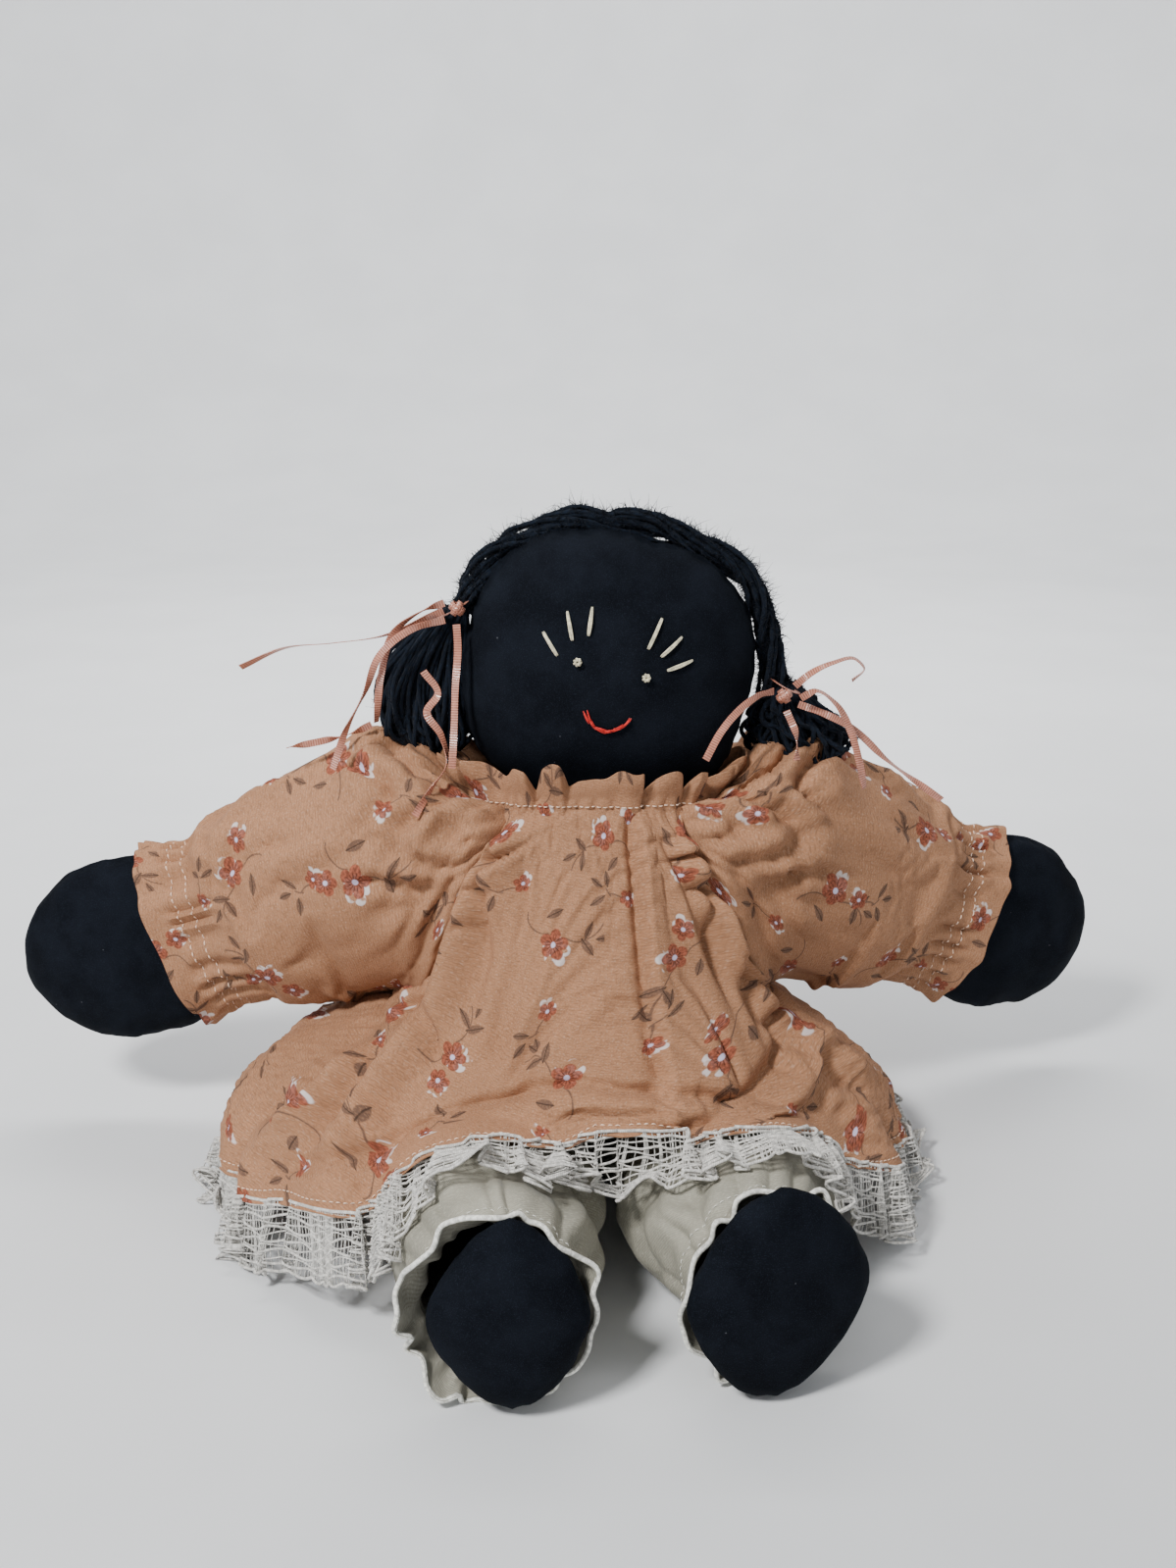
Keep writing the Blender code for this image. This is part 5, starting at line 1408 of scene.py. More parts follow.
def cap_and_sleeve(side):
    """The sleeve as one grid of rings: from the raglan seam and the neck out to the cuff's edge. The
    seam ring's points are the panels' own edge points, and the cap's swell runs on into the sleeve."""
    sign = SIDES[side]
    _, _, _, upward, _ = arm_frame(side)
    rise = panel_shares()[:SEAM_ROWS][::-1]
    front = math.pi / 2 - sign * raglan_angle(rise)
    back = -math.pi / 2 + sign * raglan_angle(rise)
    half = math.pi / 2 - RAGLAN_HALF_ANGLE
    over = np.linspace(half, -half, NECK_COLUMNS + 2)[1:-1]
    over = over if side == "left" else math.pi - over
    share = np.concatenate([rise, np.zeros(NECK_COLUMNS), rise[::-1]])
    seam = dress_points(np.concatenate([front, over, back[::-1]]), share)
    swing = sleeve_swing()
    rim = sleeve_rings(side, np.array([SLEEVE_STATIONS[0][0]]))[0]
    t = np.linspace(0.0, 1.0, CAP_ROWS)[:, None]
    cap = seam * (1 - t[..., None]) + rim * t[..., None]
    away = unit((cap - (seam.mean(axis=0) + rim.mean(axis=0)) / 2) * (0, 1, 1))
    up_share = 0.16 + 0.84 * np.clip(away[..., 2], 0.0, 1.0)
    around = stacked(np.cos(swing), np.sin(swing))
    top = 1 - step_up(np.abs(swing - np.pi), 1.2, 2.3)
    gathers = pleats(20 * swing + 2.6 * ripple(around, 0.8, 90), 0.7)
    wander = 9 * swing + 2.0 * ripple(around, 1.0, 93)
    puff = CAP_PUFF * np.sin(np.pi * 0.90 * t**0.85) * up_share
    puff = puff + 2.6 * gathers * top * bump(t, 0.14, 0.24) * step_up(t, 0.0, 0.08)
    puff = puff + 1.8 * pleats(wander + 5.0 * t) * step_up(t, 0.15, 0.5)
    cap = cap + away * puff[..., None]
    s = sleeve_places()
    reach = s[:, None]
    seed = 91 if side == "left" else 95
    gathered = 2.8 * step_up(reach, 74, 90) * (1 - 0.25 * bump(reach, 94.4, 3.5))
    gathered = gathered * (1 - step_up(reach, 99, 106))
    folds = pleats(22 * swing + 2.2 * ripple(around, 0.9, seed)) * gathered
    flare = np.sin(7 * swing + 2.4 * ripple(around, 1.0, seed + 2))
    folds = folds + 1.5 * flare * step_up(reach, 98, 112)
    folds = folds + 1.8 * pleats(wander + 5.0 + 0.05 * (reach - 22)) * (1 - step_up(reach, 40, 80))
    folds = folds + np.cos(6 * swing + 0.04 * reach + seed) * 1.6 * bump(reach, 66, 18)
    rim_swell = CAP_PUFF * math.sin(math.pi * 0.90) * up_share[-1] * (1 - step_up(reach, 20, 66))
    under = 1 - step_up(np.minimum(swing, 2 * np.pi - swing), 0.5, 1.3)
    crease = 3.2 * under * pleats(reach * 2 * np.pi / 13.0 + flare) * (1 - step_up(reach, 30, 64))
    slant = np.sin(reach / 9.0 + 2.0 * np.sin(swing) + seed)
    crease = crease + 1.5 * slant * bump(reach, 46, 20) * (1 - under)
    sleeve = sleeve_rings(side, s, folds) + away[-1] * rim_swell[..., None] + upward * crease[..., None]
    return np.concatenate([cap, sleeve])


def sleeve_flat(grid):
    """The flat map of a sleeve: along its length down, and a constant width round, in metres."""
    down = np.concatenate([[0], np.cumsum(np.linalg.norm(np.diff(grid, axis=0), axis=-1).mean(axis=1))])
    return stacked(np.linspace(0, 0.262, grid.shape[1])[None, :], down[:, None] * MM)


def garment_grids():
    """The grids of both panels and both sleeves, sewn edge to edge, before and after they settle."""
    if not GARMENT:
        plain, grids = {}, {}
        for name, facing in FACINGS.items():
            turn, share = panel_turns(facing, PANEL_COLUMNS[name])
            plain[name] = dress_points(turn, share)
            grids[name] = drape(plain[name], turn, share, facing)
        for side in SIDES:
            plain[side] = grids[side] = cap_and_sleeve(side)
        settled = settle(grids)
        settled["front"] = front_folds(settled["front"])
        for side in SIDES:
            settled[side] = cap_folds(settled[side], side)
        GARMENT.update(plain=plain, settled=settled)
    return GARMENT["settled"], GARMENT["plain"]


def sewn_numbers(grids):
    """One number for each separate point of the garment: points on a shared seam get the same one."""
    numbers = {}
    total = 0
    for name, grid in grids.items():
        size = grid.shape[0] * grid.shape[1]
        numbers[name] = np.arange(total, total + size).reshape(grid.shape[:2])
        total += size
    same = np.arange(total)
    front, back = numbers["front"], numbers["back"]
    low = SEAM_ROWS - 1
    same[back[low:, -1]] = front[low:, 0]
    same[back[low:, 0]] = front[low:, -1]
    for side, front_edge, back_edge in (("left", 0, -1), ("right", -1, 0)):
        ring = numbers[side][0]
        same[ring[:SEAM_ROWS]] = same[front[:SEAM_ROWS, front_edge]][::-1]
        same[ring[-SEAM_ROWS:]] = same[back[:SEAM_ROWS, back_edge]]
    _, compact = np.unique(same, return_inverse=True)
    compact = compact.reshape(-1)
    return {name: compact[table] for name, table in numbers.items()}, int(compact.max()) + 1


def body_under_dress():
    """One mesh object of everything that the dress can rest on, at the size the cloth settles at."""
    points = [np.array([(-400, -400, 0), (400, -400, 0), (400, 400, 0), (-400, 400, 0)], float)]
    faces = [[[0, 1, 2, 3]]]
    start = 4
    legs = (f"{side}_pantaloon_leg" for side in SIDES)
    for name in ("torso", "left_arm", "right_arm", "pantaloons_seat", *legs):
        mesh = bpy.data.objects[name].data
        place = np.zeros(len(mesh.vertices) * 3)
        mesh.vertices.foreach_get("co", place)
        points.append(place.reshape(-1, 3) / MM)
        faces.append([[corner + start for corner in polygon.vertices] for polygon in mesh.polygons])
        start += len(mesh.vertices)
    return make_piece("settling_body", np.concatenate(points) * SIM_SCALE, faces, finish("black"))


def sewn_garment(grids, numbers, count):
    """The garment's separate points, how firmly each is held and its quads: wholly at the neck and the
    cuffs, largely at the shoulders and the skirt's sides, and a little elsewhere on the panels."""
    start = np.zeros((count, 3))
    held = np.zeros(count)
    faces = []
    for name, grid in grids.items():
        table = numbers[name]
        start[table] = grid
        if name in SIDES:
            middle = np.zeros(table.shape)
            middle[1:CAP_ROWS + 12, SEAM_ROWS - 8:-SEAM_ROWS + 8] = 0.72
            held[table] = np.maximum(held[table], middle)
            held[table[0, SEAM_ROWS:-SEAM_ROWS]] = 1.0
            held[table[-14:]] = 1.0
        else:
            across = np.abs(np.linspace(-1, 1, table.shape[1]))[None, :]
            sides = 0.78 * step_up(across, 0.5, 0.8) * step_up(panel_shares()[:, None], 0.42, 0.6)
            held[table] = np.maximum(held[table], np.maximum(sides, 0.35))
            held[table[:1]] = 1.0
        quads = quads_of(table, name in SIDES)
        faces.append(quads[quads[:, 0] != quads[:, 1]])
    return start, held, faces


def settle(grids):
    """Let the sewn garment settle: a cloth simulation of all its grids as one sheet, cut a little
    larger than it was drawn so that it creases, over the body, the legs and the floor. No point moves
    farther than SIM_REACH."""
    numbers, count = sewn_numbers(grids)
    start, held, faces = sewn_garment(grids, numbers, count)
    body = body_under_dress()
    body.modifiers.new("collision", "COLLISION")
    body.collision.thickness_outer = SIM_GAP
    body.collision.cloth_friction = 12.0
    sheet = make_piece("settling_dress", start * SIM_SCALE, faces, finish("calico"))
    group = sheet.vertex_groups.new(name="held")
    for weight in np.unique(np.round(held, 2)):
        picked = np.nonzero(np.round(held, 2) == weight)[0]
        group.add(picked.tolist(), float(weight), "REPLACE")
    cloth = sheet.modifiers.new("cloth", "CLOTH")
    for setting, value in SIM_CLOTH.items():
        setattr(cloth.settings, setting, value)
    cloth.settings.vertex_group_mass = "held"
    cloth.settings.effector_weights.gravity = 0.5
    cloth.collision_settings.collision_quality = 2
    cloth.collision_settings.distance_min = SIM_GAP
    cloth.collision_settings.use_self_collision = False
    cloth.point_cache.frame_start = 1
    cloth.point_cache.frame_end = SIM_FRAMES
    scene = bpy.context.scene
    for frame_number in range(1, SIM_FRAMES + 1):
        scene.frame_set(frame_number)
    seen = sheet.evaluated_get(bpy.context.evaluated_depsgraph_get()).to_mesh()
    solved = np.zeros(count * 3)
    seen.vertices.foreach_get("co", solved)
    solved = solved.reshape(-1, 3) / (MM * SIM_SCALE)
    scene.frame_set(1)
    for used in (sheet, body):
        mesh = used.data
        bpy.data.objects.remove(used)
        bpy.data.meshes.remove(mesh)
    if not np.isfinite(solved).all():
        raise RuntimeError("the dress did not settle")
    move = solved - start
    far = np.linalg.norm(move, axis=1, keepdims=True)
    solved = start + move * np.minimum(1.0, SIM_REACH / np.maximum(far, 1e-9))
    least = leg_cover_height(solved[:, 0], solved[:, 1]) + 0.8
    solved[:, 2] = np.maximum(solved[:, 2], np.maximum(least * (solved[:, 1] < -30), 0.6))
    return {name: solved[numbers[name]] for name in grids}


def front_parts(hem):
    """The two sides of the front as ranges of its columns, which meet between the legs."""
    middle = int(np.argmin(np.abs(hem[:, 0] - SPLIT_AT_HEM)))
    return {"left": slice(0, middle + 1), "right": slice(middle, len(hem))}


def skirt_carrier(side):
    """The carrier given for a part of the skirt: the torso, and for a front part the torso with its leg's
    flap and two places along -Y.
    """
    if not side:
        return "torso"
    return ("torso", f"{side}_hip_flap", (0.0, LAP_START, 0.0), (0.0, LAP_END, 0.0))


def make_panels():
    """The front panel in two parts and the back panel, with their hem's stitches."""
    grids, plain = garment_grids()
    for name in FACINGS:
        grid = grids[name]
        flat = grid_lengths(plain[name], 1 + 0.55 * (1 - step_up(panel_shares()[:, None], 0.0, 0.4)))
        flat += np.array([0.35, 0.0]) * (name == "back")
        smooth_grid, smooth_flat = finer(grid), finer(flat)
        hem = grid[-3]
        out = unit(np.cross(np.gradient(hem, axis=0), grid[-1] - grid[-5]))
        out = out * np.sign((out * (hem - BACK * DRESS_MIDDLE_Y)).sum(-1, keepdims=True))
        parts = front_parts(grid[-1]) if name == "front" else {"": slice(0, len(hem))}
        for side, columns in parts.items():
            fine = slice(2 * columns.start, 2 * columns.stop - 1)
            title = f"dress_{name}_{side}" if side else f"dress_{name}"
            obj = sheet_piece(title, smooth_grid[:, fine], "calico", smooth_flat[:, fine], smooth=False)
            attach(obj, "calico", skirt_carrier(side), f"dress_{name}")
            area = grid_area(grid[:, columns])
            declare_sheet(area / PANEL_FULLNESS / PANEL_HEIGHT, PANEL_HEIGHT, area)
            thread = strand_piece(f"hem_stitches_{side or name}",
                                  [stitches(hem[columns], out[columns], 2.8, 0.26)], "peach")
            attach(thread, "calico", skirt_carrier(side))


def make_sleeve(side):
    """A shoulder cap, a sleeve and a cuff ruffle out of the settled grid, and the wrist's two lines of
    stitches."""
    grids, plain = garment_grids()
    _, pivot, along, _, _ = arm_frame(side)
    grid, rough = (np.concatenate([table, table[:, :1]], axis=1) for table in (grids[side], plain[side]))
    flat = sleeve_flat(rough) + np.array([0.7 if side == "left" else 1.1, 0.2])
    smooth_grid, smooth_flat = finer(grid, True), finer(flat)
    s = sleeve_places()
    flap, arm = f"{side}_shoulder_flap", f"{side}_arm"
    first = CAP_ROWS - 1
    last = first + int(np.searchsorted(s, CASING_END + 0.01))
    for name, low, high, carrier, hidden in (
        ("sleeve_cap", 0, first, ("torso", flap, pivot + along * 5.0, pivot + along * 22.0), []),
        ("sleeve", first, last, (flap, arm, pivot + along * 23.0, pivot + along * 66.0), ["wrist_elastic"]),
        ("cuff_ruffle", last, len(grid) - 1, arm, []),
    ):
        rows = slice(2 * low, 2 * high + 1)
        title = f"{side}_{name}"
        obj = sheet_piece(title, smooth_grid[rows], "calico", smooth_flat[rows], True, smooth=False)
        attach(obj, "calico", carrier, title, *(f"{side}_{node}" for node in hidden))
        declare_sheet(SLEEVE_WIDTH, area=grid_area(grid[low:high + 1]))
    parts = []
    for place in (CASING_START, CASING_END):
        line = grid[CAP_ROWS + int(np.argmin(np.abs(s - place)))]
        out = unit(line - (pivot + along * ((line - pivot) @ along)[:, None]))
        parts.append(stitches(line, out, 3.2, 0.32))
    attach(strand_piece(f"{side}_cuff_stitches", parts, "peach"), "calico", arm)


def neck_ring(height, out, turn):
    """A ring round the neck, higher in front and behind than over the shoulders."""
    x = NECK_RING_X + (NECK_RING_HALF[0] + out) * np.cos(turn)
    y = (NECK_RING_HALF[1] + out) * np.sin(turn)
    return stacked(x, y, height + NECK_RING_SIDE_LIFT * np.cos(turn) ** 2)


def make_neckline():
    """The gathered casing and the ruffle above it: puckers at the elastic that open into a few broad
    folds. Across each fold the top edge climbs and the cloth comes forward, and then both drop back
    steeply into the next crease."""
    rows = 26
    turn = np.linspace(0, 2 * np.pi, 431)[None, :]
    t = np.linspace(0, 1, rows)[:, None]
    around = stacked(np.cos(turn), np.sin(turn))
    phase = 9 * turn / (2 * np.pi) + 0.62 * ripple(around, 1.0, 101) + 0.15
    saw = phase - np.floor(phase)
    fold = step_up(saw, 0.0, 0.62) * (1 - step_up(saw, 0.93, 1.0))
    casing = pleats(40 * turn + 2.2 * ripple(around, 0.6, 102))
    low = step_up(t, 0.0, 0.10) * (1 - step_up(t, 0.36, 0.60))
    upper = step_up(t, 0.30, 0.95)
    spread = 1.1 * step_up(t, 0.02, 0.34) + (2.2 + 2.8 * np.cos(turn) ** 2) * upper
    out = 0.8 * casing * low + (2 * fold - 1) * spread
    out = out + 2.6 * upper**1.3 + 0.8 * ripple(around, 0.25, 106) * upper
    height = 161.2 + 24.4 * t - 10.0 * upper * (1 - fold) ** 1.6
    height = height + (2.4 * ripple(around, 0.8, 103) + 0.8 * ripple(around, 0.2, 107)) * upper
    grid = neck_ring(height, out, turn)
    grid[0] = neck_ring(160.6, -0.6, turn)[0]
    flat = grid_lengths(neck_ring(161.2 + 23 * t, 0.0, turn), 1.7) + np.array([1.9, 0.0])
    obj = sheet_piece("neck_ruffle", grid, "calico", flat, True)
    attach(obj, "calico", "torso", "neck_ruffle", "neck_elastic")
    declare_sheet(grid_area(grid) / RUFFLE_HEIGHT, area=grid_area(grid))
    line = grid[int(rows * 0.36)]
    seam = [stitches(line, unit(line * (1, 1, 0)), 2.6, 0.30, 0.7)]
    attach(strand_piece("neck_stitches", seam, "peach"), "calico", "torso")


# Lace


def bridged_height(x, y):
    """The height that lace rests at: the legs' tops, and between the legs a slack line over the gap."""
    between = 50.0 * step_up(30.0 - np.abs(x - 6.0), 0.0, 14.0) * ((y > -165) & (y < -70))
    return np.maximum(leg_cover_height(x, y), between)


def smoothed(rows, kernel):
    """Rows of points averaged along each row with a kernel, the ends repeated."""
    half = len(kernel) // 2
    wide = np.pad(rows, ((0, 0), (half, half), (0, 0)), mode="edge")
    return np.stack([
        np.stack([np.convolve(row[:, k], kernel, "valid") for k in range(3)], axis=1) for row in wide])


def lace_fall(hem, out_way):
    """Rows of points that hang from the hem: each steps down and a little outward, and where that
    would go into a leg or the floor it steps along it instead."""
    step = LACE_WIDTH / (LACE_ROWS - 1)
    made = [hem + UP * 1.6 - out_way * 0.9]
    for _ in range(LACE_ROWS - 1):
        down = made[-1] + (out_way * 0.22 - UP * 0.97) * step
        along = made[-1] + out_way * 0.92 * step
        least, rest = (np.maximum(bridged_height(way[:, 0], way[:, 1]), 0.4) + 1.4 for way in (down, along))
        along[:, 2] = np.maximum(rest, made[-1][:, 2] - step)
        made.append(np.where((down[:, 2] < least)[:, None], along, down))
    kernel = np.hanning(27)
    soft = smoothed(np.array(made), kernel / kernel.sum())
    soft[0] = made[0]
    return soft


def lace_surface(edge, seed):
    """The lace's gathered surface as rows of points, its hem line, and how far along that each column
    is: the fall meanders in and out and sideways like a ribbon of folds."""
    share = np.linspace(0, len(edge) - 1, LACE_COLUMNS)
    hem = np.stack([np.interp(share, np.arange(len(edge)), edge[:, k]) for k in range(3)], axis=1)
    along_hem = unit(np.gradient(hem, axis=0) * (1, 1, 0))
    out_way = np.stack([along_hem[:, 1], -along_hem[:, 0], 0 * share], axis=1)
    out_way = out_way * np.sign(((hem - BACK * DRESS_MIDDLE_Y) * out_way).sum(1, keepdims=True))
    out_way = unit(smoothed(out_way[None], np.ones(61) / 61)[0])
    ahead = step_up(-hem[:, 1], -25.0, 60.0)[:, None]
    out_way = unit(out_way * (1 - 0.72 * ahead) - BACK * ahead)
    fall = lace_fall(hem, out_way)
    side_way = np.cross(UP, out_way)
    normal = unit(np.cross(np.gradient(fall, axis=0), side_way[None]))
    normal *= np.sign((normal * (out_way + UP * 0.6)).sum(-1, keepdims=True))
    span = run_along(hem)
    length = span[:, None]
    size = 1 + 0.45 * ripple(length, 34.0, seed + 1)
    t = np.linspace(0, 1, LACE_ROWS)[:, None]
    drift = span * 2 * np.pi / 21.0 + 3.6 * ripple(length, 60.0, seed)
    drift = drift + 0.8 * t * ripple(length, 40.0, seed + 3)
    reach = 4.8 * (0.34 + 0.66 * t**0.7) * size
    place = fall + normal * (reach * np.cos(drift) + 1.8 * t)[..., None]
    place = place + side_way[None] * (reach * np.sin(2 * drift))[..., None]
    curl = 2.6 * t**2 * np.clip(ripple(length, 30.0, seed + 2), 0, None)
    place = place + (normal * 0.7 + UP) * curl[..., None]
    least = np.maximum(bridged_height(place[..., 0], place[..., 1]) * (place[..., 1] < -40), 0.2) + 0.7
    place[..., 2] = np.maximum(place[..., 2], least)
    return place, hem, span


def between_points(place, t, column):
    """Points of a surface at shares of its width, for columns and parts of columns."""
    down = np.clip(np.asarray(t) * (LACE_ROWS - 1), 0, LACE_ROWS - 1.001)
    aside = np.clip(np.asarray(column, float), 0, LACE_COLUMNS - 1.001)
    down, aside = np.broadcast_arrays(down, aside)
    low, near = down.astype(int), aside.astype(int)
    a, b = (down - low)[..., None], (aside - near)[..., None]
    upper = place[low, near] * (1 - b) + place[low, near + 1] * b
    lower = place[low + 1, near] * (1 - b) + place[low + 1, near + 1] * b
    return upper * (1 - a) + lower * a


def make_lace(facing, seed):
    """Gathered lace under one hem: wavy cords along its length, fine threads across them in bunches
    and a scalloped edge, all thin tubes on one surface. The front's is in two parts."""
    place, hem, span = lace_surface(garment_grids()[0][facing][-1], seed)
    name = f"hem_lace_{facing}"
    pieces = front_parts(hem) if facing == "front" else {"": slice(0, LACE_COLUMNS)}
    for side, part in pieces.items():
        every, length = np.arange(LACE_COLUMNS)[part], span[part]
        scallop = 0.060 * np.abs(np.sin(length * np.pi / 6.2))
        parts = []
        for number, (height, radius, sway) in enumerate(LACE_CORDS):
            wavy = height + sway * np.sin(length * 2 * np.pi / 9.4 + 1.9 * number)
            wavy = wavy + scallop * (height > 0.9)
            parts.append(tubes(between_points(place, wavy, every)[None], radius, 4, (0, 0.05, 1)))
        t = np.linspace(0.0, 1.0, 11)[None, :]
        bunch = every + 1.5 * np.sin(length * 2 * np.pi / 4.7)
        slant = 0.6 * np.sin(t * 7.0 + (length * 2 * np.pi / 31.0)[:, None])
        cross = between_points(place, t * (0.93 + scallop)[:, None], bunch[:, None] + slant)
        parts.append(tubes(cross, 0.24, 3, (0.1, 0.2, 0.97)))
        for points, _, _ in parts:
            points[:, 2] = np.maximum(points[:, 2], 0.2)
        obj = strand_piece(f"{name}_{side}" if side else name, parts, "lace")
        attach(obj, "lace", skirt_carrier(side), name)


# Pantaloons


def make_seat():
    """The pantaloons' seat of off-white twill, closed below."""
    turn = np.linspace(0, 2 * np.pi, 111)[None, :]
    places = np.concatenate([[0.5], np.linspace(0.9, 6, 6), np.linspace(9, 78, 24)])
    table = flow(SEAT_STATIONS, places)
    around = stacked(np.cos(turn), np.sin(turn))
    high = step_up(places, 8, 70)[:, None]
    crease = 0.9 * np.cos(26 * turn + 2 * ripple(around, 0.8, 111)) * (0.3 + high)
    crease = (crease + 0.8 * ripple(around, 0.5, 112)) * step_up(places, 2, 20)[:, None]
    grid = rings((UP * places[:, None])[:, None], ACROSS, BACK, table[:, :1], table[:, 1:2], turn, crease)
    grid = np.concatenate([grid[:1] * (0.02, 0.02, 1.0), grid])
    obj = sheet_piece("pantaloons_seat", grid, "twill", grid_lengths(grid) + 0.2, True)
    attach(obj, "white_cotton", "torso", "pantaloons_seat", "waist_elastic")
    declare_sheet(SEAT_WIDTH, area=grid_area(grid))


def pantaloon_folds(side, turn, reach, seed):
    """How far a pantaloon leg's cloth stands off its plain rings: slanting folds, soft unevenness,
    gathers that tighten into the ankle casing, and the ruffle's waves."""
    around = stacked(np.cos(turn), np.sin(turn))
    both = stacked(np.cos(turn) * 34, np.sin(turn) * 34, reach)
    gathers = step_up(reach, 58, 88) * (1 - 0.45 * bump(reach, 92, 4)) * (1 - step_up(reach, 96, 104))
    folds = 1.5 * pleats(15 * turn + 2.0 * ripple(around, 0.9, seed)) * gathers
    slant = both @ np.array([0.5, 0.3, 0.8]) * 2 * np.pi / 24.0 + 2.0 * ripple(both, 50.0, seed + 5)
    folds = folds + 2.3 * pleats(slant, 1.1) * bump(reach, 52, 26)
    folds = folds + 1.7 * ripple(both, 26.0, seed + 1) * (1 - step_up(reach, 70, 88))
    folds = folds + 0.5 * ripple(both, 11.0, seed + 2)
    big = 1.9 * np.sin(8 * turn + 2.2 * ripple(around, 1.0, seed + 3))
    folds = folds + step_up(reach, 94, 106.5) * (big * (1 + 0.5 * ripple(around, 0.9, seed + 4)) + 0.4)
    if side == "right":
        folds = folds + 1.8 * bump(np.cos(turn + 0.75), 1.0, 0.45) * step_up(reach, 88, 106.5)
    return folds


def make_pantaloon_leg(side):
    """One pantaloon leg: rings of flowing half sizes along the leg, with folds that tighten into the
    ankle casing and open again in the ruffle, and its rolled edge and stitches."""
    base, along, aside = leg_frame(side)
    sign = SIDES[side]
    seed = 120 if side == "left" else 130
    turn = np.linspace(0, 2 * np.pi, 171)[None, :]
    s = np.concatenate([
        np.linspace(-7, 89, 40), np.linspace(89, 94.6, 5)[1:], np.linspace(94.6, 106.5, 11)[1:]])
    table = flow(PANTALOON_STATIONS, s)
    reach = s[:, None]
    late = leg_lateness(reach)
    centres = base + along * (reach + LEG_EXTRA[side] * late) + UP * table[:, 2:3]
    centres = (centres + aside * (table[:, 3:4] - ANKLE_INWARD[side] * late))[:, None]
    plain = rings(centres, aside, UP, table[:, :1], table[:, 1:2], turn)
    folds = pantaloon_folds(side, turn, reach, seed)
    grid = rings(centres, aside, UP, table[:, :1], table[:, 1:2], turn, folds)
    uneven = 1.5 * np.cos(8 * turn + 1.0) + 1.2 * ripple(stacked(np.cos(turn), np.sin(turn)), 0.7, seed + 6)
    grid = grid + along * (step_up(reach, 94, 106.5) * uneven)[..., None]
    grid[..., 2] = np.maximum(grid[..., 2], 0.5)
    flat = grid_lengths(plain) + np.array([0.5 * sign, 0.0])
    carrier = (f"{side}_hip_flap", f"{side}_leg", (30 * sign, -56.0, 22), base + along * 40 + UP * 22)
    last = 44
    for name, rows, body, hidden in (
        ("pantaloon_leg", slice(0, last), carrier, ["ankle_elastic"]),
        ("ankle_ruffle", slice(last - 1, None), f"{side}_leg", []),
    ):
        obj = sheet_piece(f"{side}_{name}", grid[rows], "twill", flat[rows], True)
        attach(obj, "white_cotton", body, *(f"{side}_{node}" for node in [name, *hidden]))
        declare_sheet(LEG_WIDTH, area=grid_area(grid[rows]))
    rim = grid[-1]
    route = rim - along * 0.8 + unit(rim - centres[-1]) * 0.35
    roll = tubes(route[None], 0.95, 8, along + (0.05, 0.02, 0.03))
    roll[0][:, 2] = np.maximum(roll[0][:, 2], 0.15)
    seams = [stitches(grid[row], unit(grid[row] - centres[row]), 2.8, 0.18) for row in (39, last - 1)]
    attach(strand_piece(f"{side}_ankle_edging", [roll, *seams], "white"), "white_cotton", f"{side}_leg")


# Stage


def make_floor():
    """A plain pale floor that sweeps up all round: a profile of radius and height, flat and then a
    quarter circle, turned round."""
    angle = np.linspace(0, np.pi / 2, 25)
    radius = np.concatenate([[0.02, 0.6, 1.5], 1.6 + 1.2 * np.sin(angle), [2.8]])[:, None] / MM
    height = np.concatenate([[0, 0, 0], 1.2 * (1 - np.cos(angle)), [2.6]])[:, None] / MM
    turn = np.linspace(0, 2 * np.pi, 96, endpoint=False)
    grid = stacked(radius * np.cos(turn), radius * np.sin(turn), height)
    rows, columns = grid.shape[:2]
    ink = Ink("pale_floor", 0.75)
    place = ink.node("ShaderNodeTexCoord").outputs["Object"]
    shade = ink.ramp(ink.noise(place, 6.0), 0.3, 0.7)
    ink.feed(ink.shader.inputs["Base Color"], ink.mix(shade, (0.74, 0.75, 0.76, 1), (0.78, 0.79, 0.80, 1)))
    faces = [grid_quads(rows, columns, True), [list(range(columns))]]
    make_piece("floor", grid.reshape(-1, 3), faces, ink.material)


def make_studio():
    """Soft studio light and a camera at the photograph's angle."""
    world = bpy.data.worlds.new("studio")
    world.use_nodes = True
    background = world.node_tree.nodes["Background"].inputs
    background[0].default_value = (0.90, 0.93, 0.97, 1)
    background[1].default_value = 0.36
    scene = bpy.context.scene
    scene.world = world
    for name, place, aim, size, power in LAMPS:
        lamp = bpy.data.lights.new(name, "AREA")
        lamp.size = size
        lamp.energy = power
        obj = bpy.data.objects.new(name, lamp)
        obj.location = place
        obj.rotation_euler = (Vector(aim) - Vector(place)).to_track_quat("-Z", "Y").to_euler()
        scene.collection.objects.link(obj)
    camera = bpy.data.cameras.new("camera")
    camera.lens = 33.77
    camera.sensor_width = 36.0
    view = bpy.data.objects.new("camera", camera)
    view.location = (-0.0025, -0.580, 0.355)
    view.rotation_euler = (math.radians(72), 0.0, 0.0)
    scene.collection.objects.link(view)
    scene.camera = view


# Operators and panel


class DOLL_OT_stage(bpy.types.Operator):
    """Make the floor, the light and the camera"""
    bl_idname = "doll.stage"
    bl_label = "Stage"

    def execute(self, context):
        make_floor()
        make_studio()
        return {"FINISHED"}


class DOLL_OT_ribbons(bpy.types.Operator):
    """Make both bows of narrow satin ribbon"""
    bl_idname = "doll.ribbons"
    bl_label = "Ribbons"

    def execute(self, context):
        make_tails()
        for side in KNOTS:
            make_knot(side)
        return {"FINISHED"}


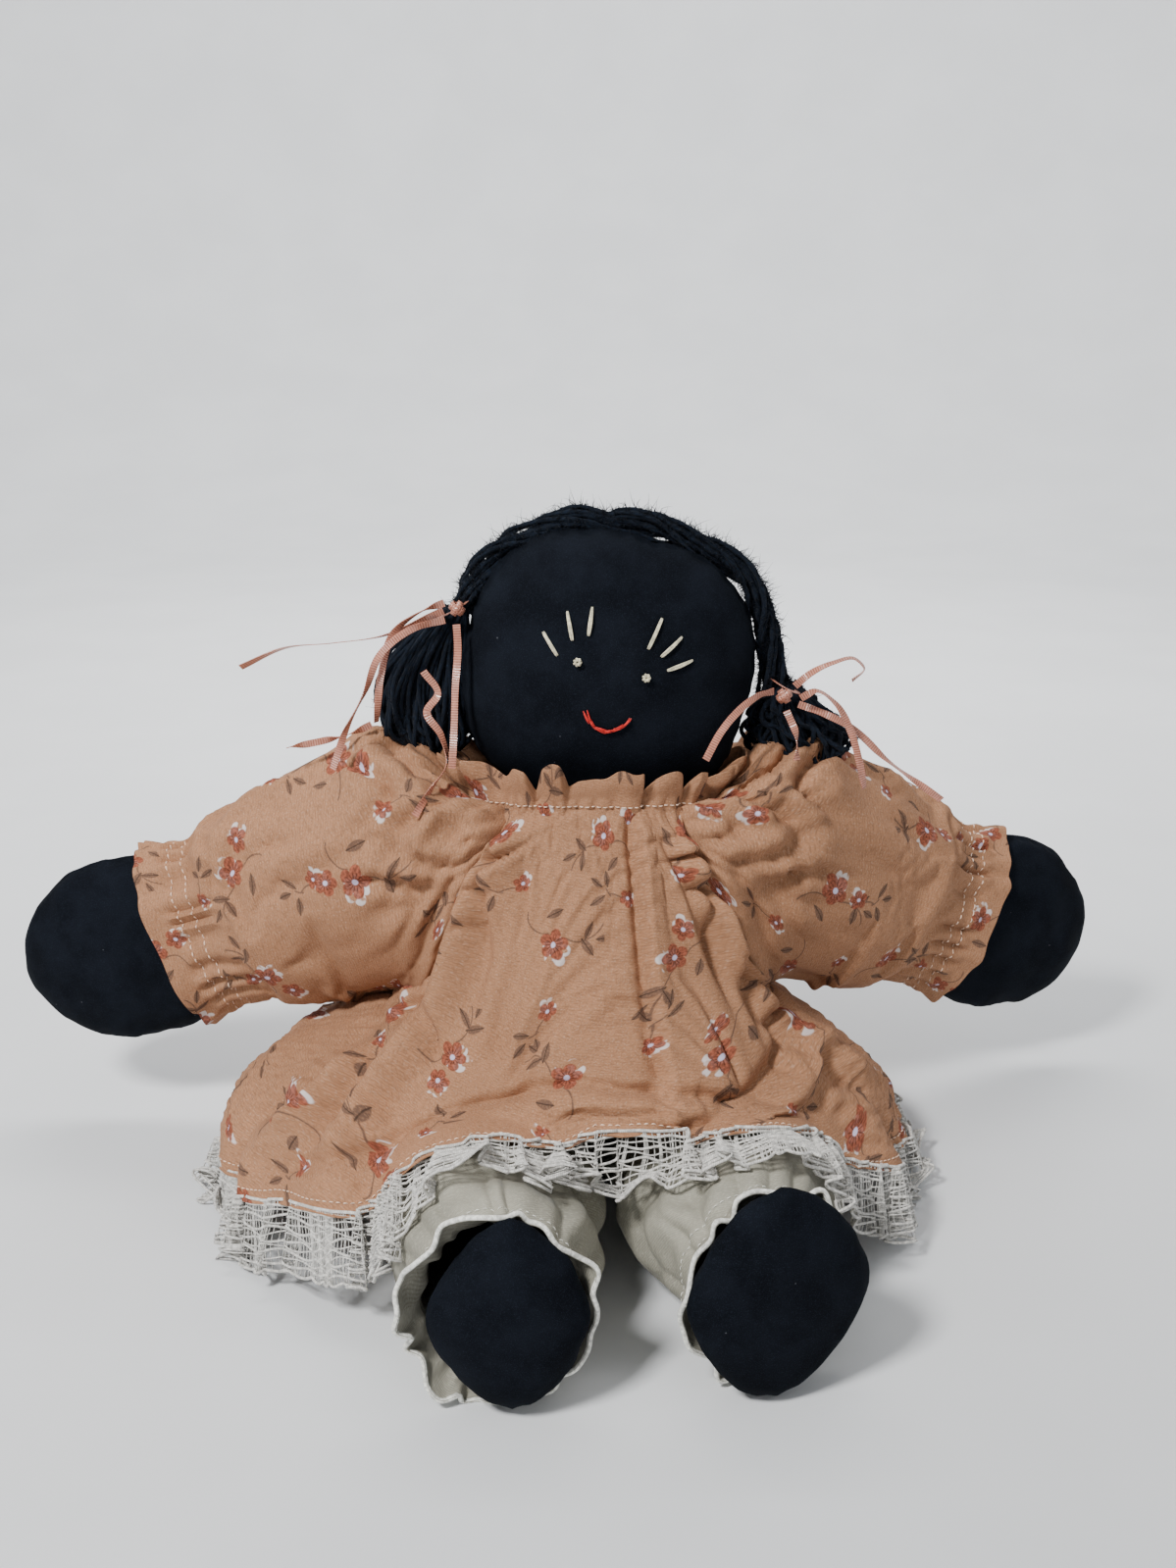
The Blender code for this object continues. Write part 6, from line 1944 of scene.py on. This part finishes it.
class DOLL_OT_torso(bpy.types.Operator):
    """Make the stuffed body"""
    bl_idname = "doll.torso"
    bl_label = "Torso"

    def execute(self, context):
        make_torso()
        return {"FINISHED"}


class DOLL_OT_neck(bpy.types.Operator):
    """Make the neck stub"""
    bl_idname = "doll.neck"
    bl_label = "Neck"

    def execute(self, context):
        make_neck()
        return {"FINISHED"}


class DOLL_OT_head(bpy.types.Operator):
    """Make the stuffed head"""
    bl_idname = "doll.head"
    bl_label = "Head"

    def execute(self, context):
        make_head()
        return {"FINISHED"}


class DOLL_OT_limbs(bpy.types.Operator):
    """Make the stuffed arms and legs with their flaps"""
    bl_idname = "doll.limbs"
    bl_label = "Limbs"

    def execute(self, context):
        make_limbs()
        return {"FINISHED"}


class DOLL_OT_face(bpy.types.Operator):
    """Make the eyes, the lashes and the mouth"""
    bl_idname = "doll.face"
    bl_label = "Face"

    def execute(self, context):
        make_eyes()
        make_lashes()
        make_mouth()
        return {"FINISHED"}


class DOLL_OT_band(bpy.types.Operator):
    """Make the band of yarn over the head"""
    bl_idname = "doll.band"
    bl_label = "Yarn band"

    def execute(self, context):
        make_band()
        return {"FINISHED"}


class DOLL_OT_pigtails(bpy.types.Operator):
    """Make both bundles of yarn"""
    bl_idname = "doll.pigtails"
    bl_label = "Pigtails"

    def execute(self, context):
        for side in SIDES:
            make_pigtail(side)
        return {"FINISHED"}


class DOLL_OT_pantaloons(bpy.types.Operator):
    """Make the pantaloons' seat, legs and ankle ruffles"""
    bl_idname = "doll.pantaloons"
    bl_label = "Pantaloons"

    def execute(self, context):
        make_seat()
        for side in SIDES:
            make_pantaloon_leg(side)
        return {"FINISHED"}


class DOLL_OT_dress(bpy.types.Operator):
    """Make the calico panels, sleeves and cuffs"""
    bl_idname = "doll.dress"
    bl_label = "Dress"

    def execute(self, context):
        make_panels()
        for side in SIDES:
            make_sleeve(side)
        return {"FINISHED"}


class DOLL_OT_neckline(bpy.types.Operator):
    """Make the neckline's casing and ruffle"""
    bl_idname = "doll.neckline"
    bl_label = "Neckline"

    def execute(self, context):
        make_neckline()
        return {"FINISHED"}


class DOLL_OT_lace(bpy.types.Operator):
    """Make the lace under the front hem and the back hem"""
    bl_idname = "doll.lace"
    bl_label = "Lace"

    def execute(self, context):
        make_lace("front", 141)
        make_lace("back", 142)
        return {"FINISHED"}


# In the order that they are called
OPERATORS = (
    DOLL_OT_stage, DOLL_OT_ribbons, DOLL_OT_torso, DOLL_OT_neck, DOLL_OT_head, DOLL_OT_limbs, DOLL_OT_face,
    DOLL_OT_band, DOLL_OT_pigtails, DOLL_OT_pantaloons, DOLL_OT_dress, DOLL_OT_neckline, DOLL_OT_lace,
)


class DOLL_PT_panel(bpy.types.Panel):
    """Lists the doll's sizes, colours and pieces"""
    bl_idname = "DOLL_PT_panel"
    bl_label = "Rag doll"
    bl_space_type = "VIEW_3D"
    bl_region_type = "UI"
    bl_category = "Rag doll"

    def draw(self, context):
        for group in (context.scene.doll_cloth, context.scene.doll_trim):
            for name in group.__annotations__:
                self.layout.prop(group, name)
        for made in OPERATORS:
            self.layout.operator(made.bl_idname)


CLASSES = (ClothSettings, TrimSettings, *OPERATORS, DOLL_PT_panel)


def register():
    """Register the settings, operators and panel."""
    for made in CLASSES:
        bpy.utils.register_class(made)
    bpy.types.Scene.doll_cloth = bpy.props.PointerProperty(type=ClothSettings)
    bpy.types.Scene.doll_trim = bpy.props.PointerProperty(type=TrimSettings)


def unregister():
    """Take them away again."""
    del bpy.types.Scene.doll_trim
    del bpy.types.Scene.doll_cloth
    for made in reversed(CLASSES):
        bpy.utils.unregister_class(made)


def main():
    """Make every piece in order."""
    register()
    for made in OPERATORS:
        getattr(bpy.ops.doll, made.bl_idname.split(".")[1])()


if __name__ == "__main__":
    main()
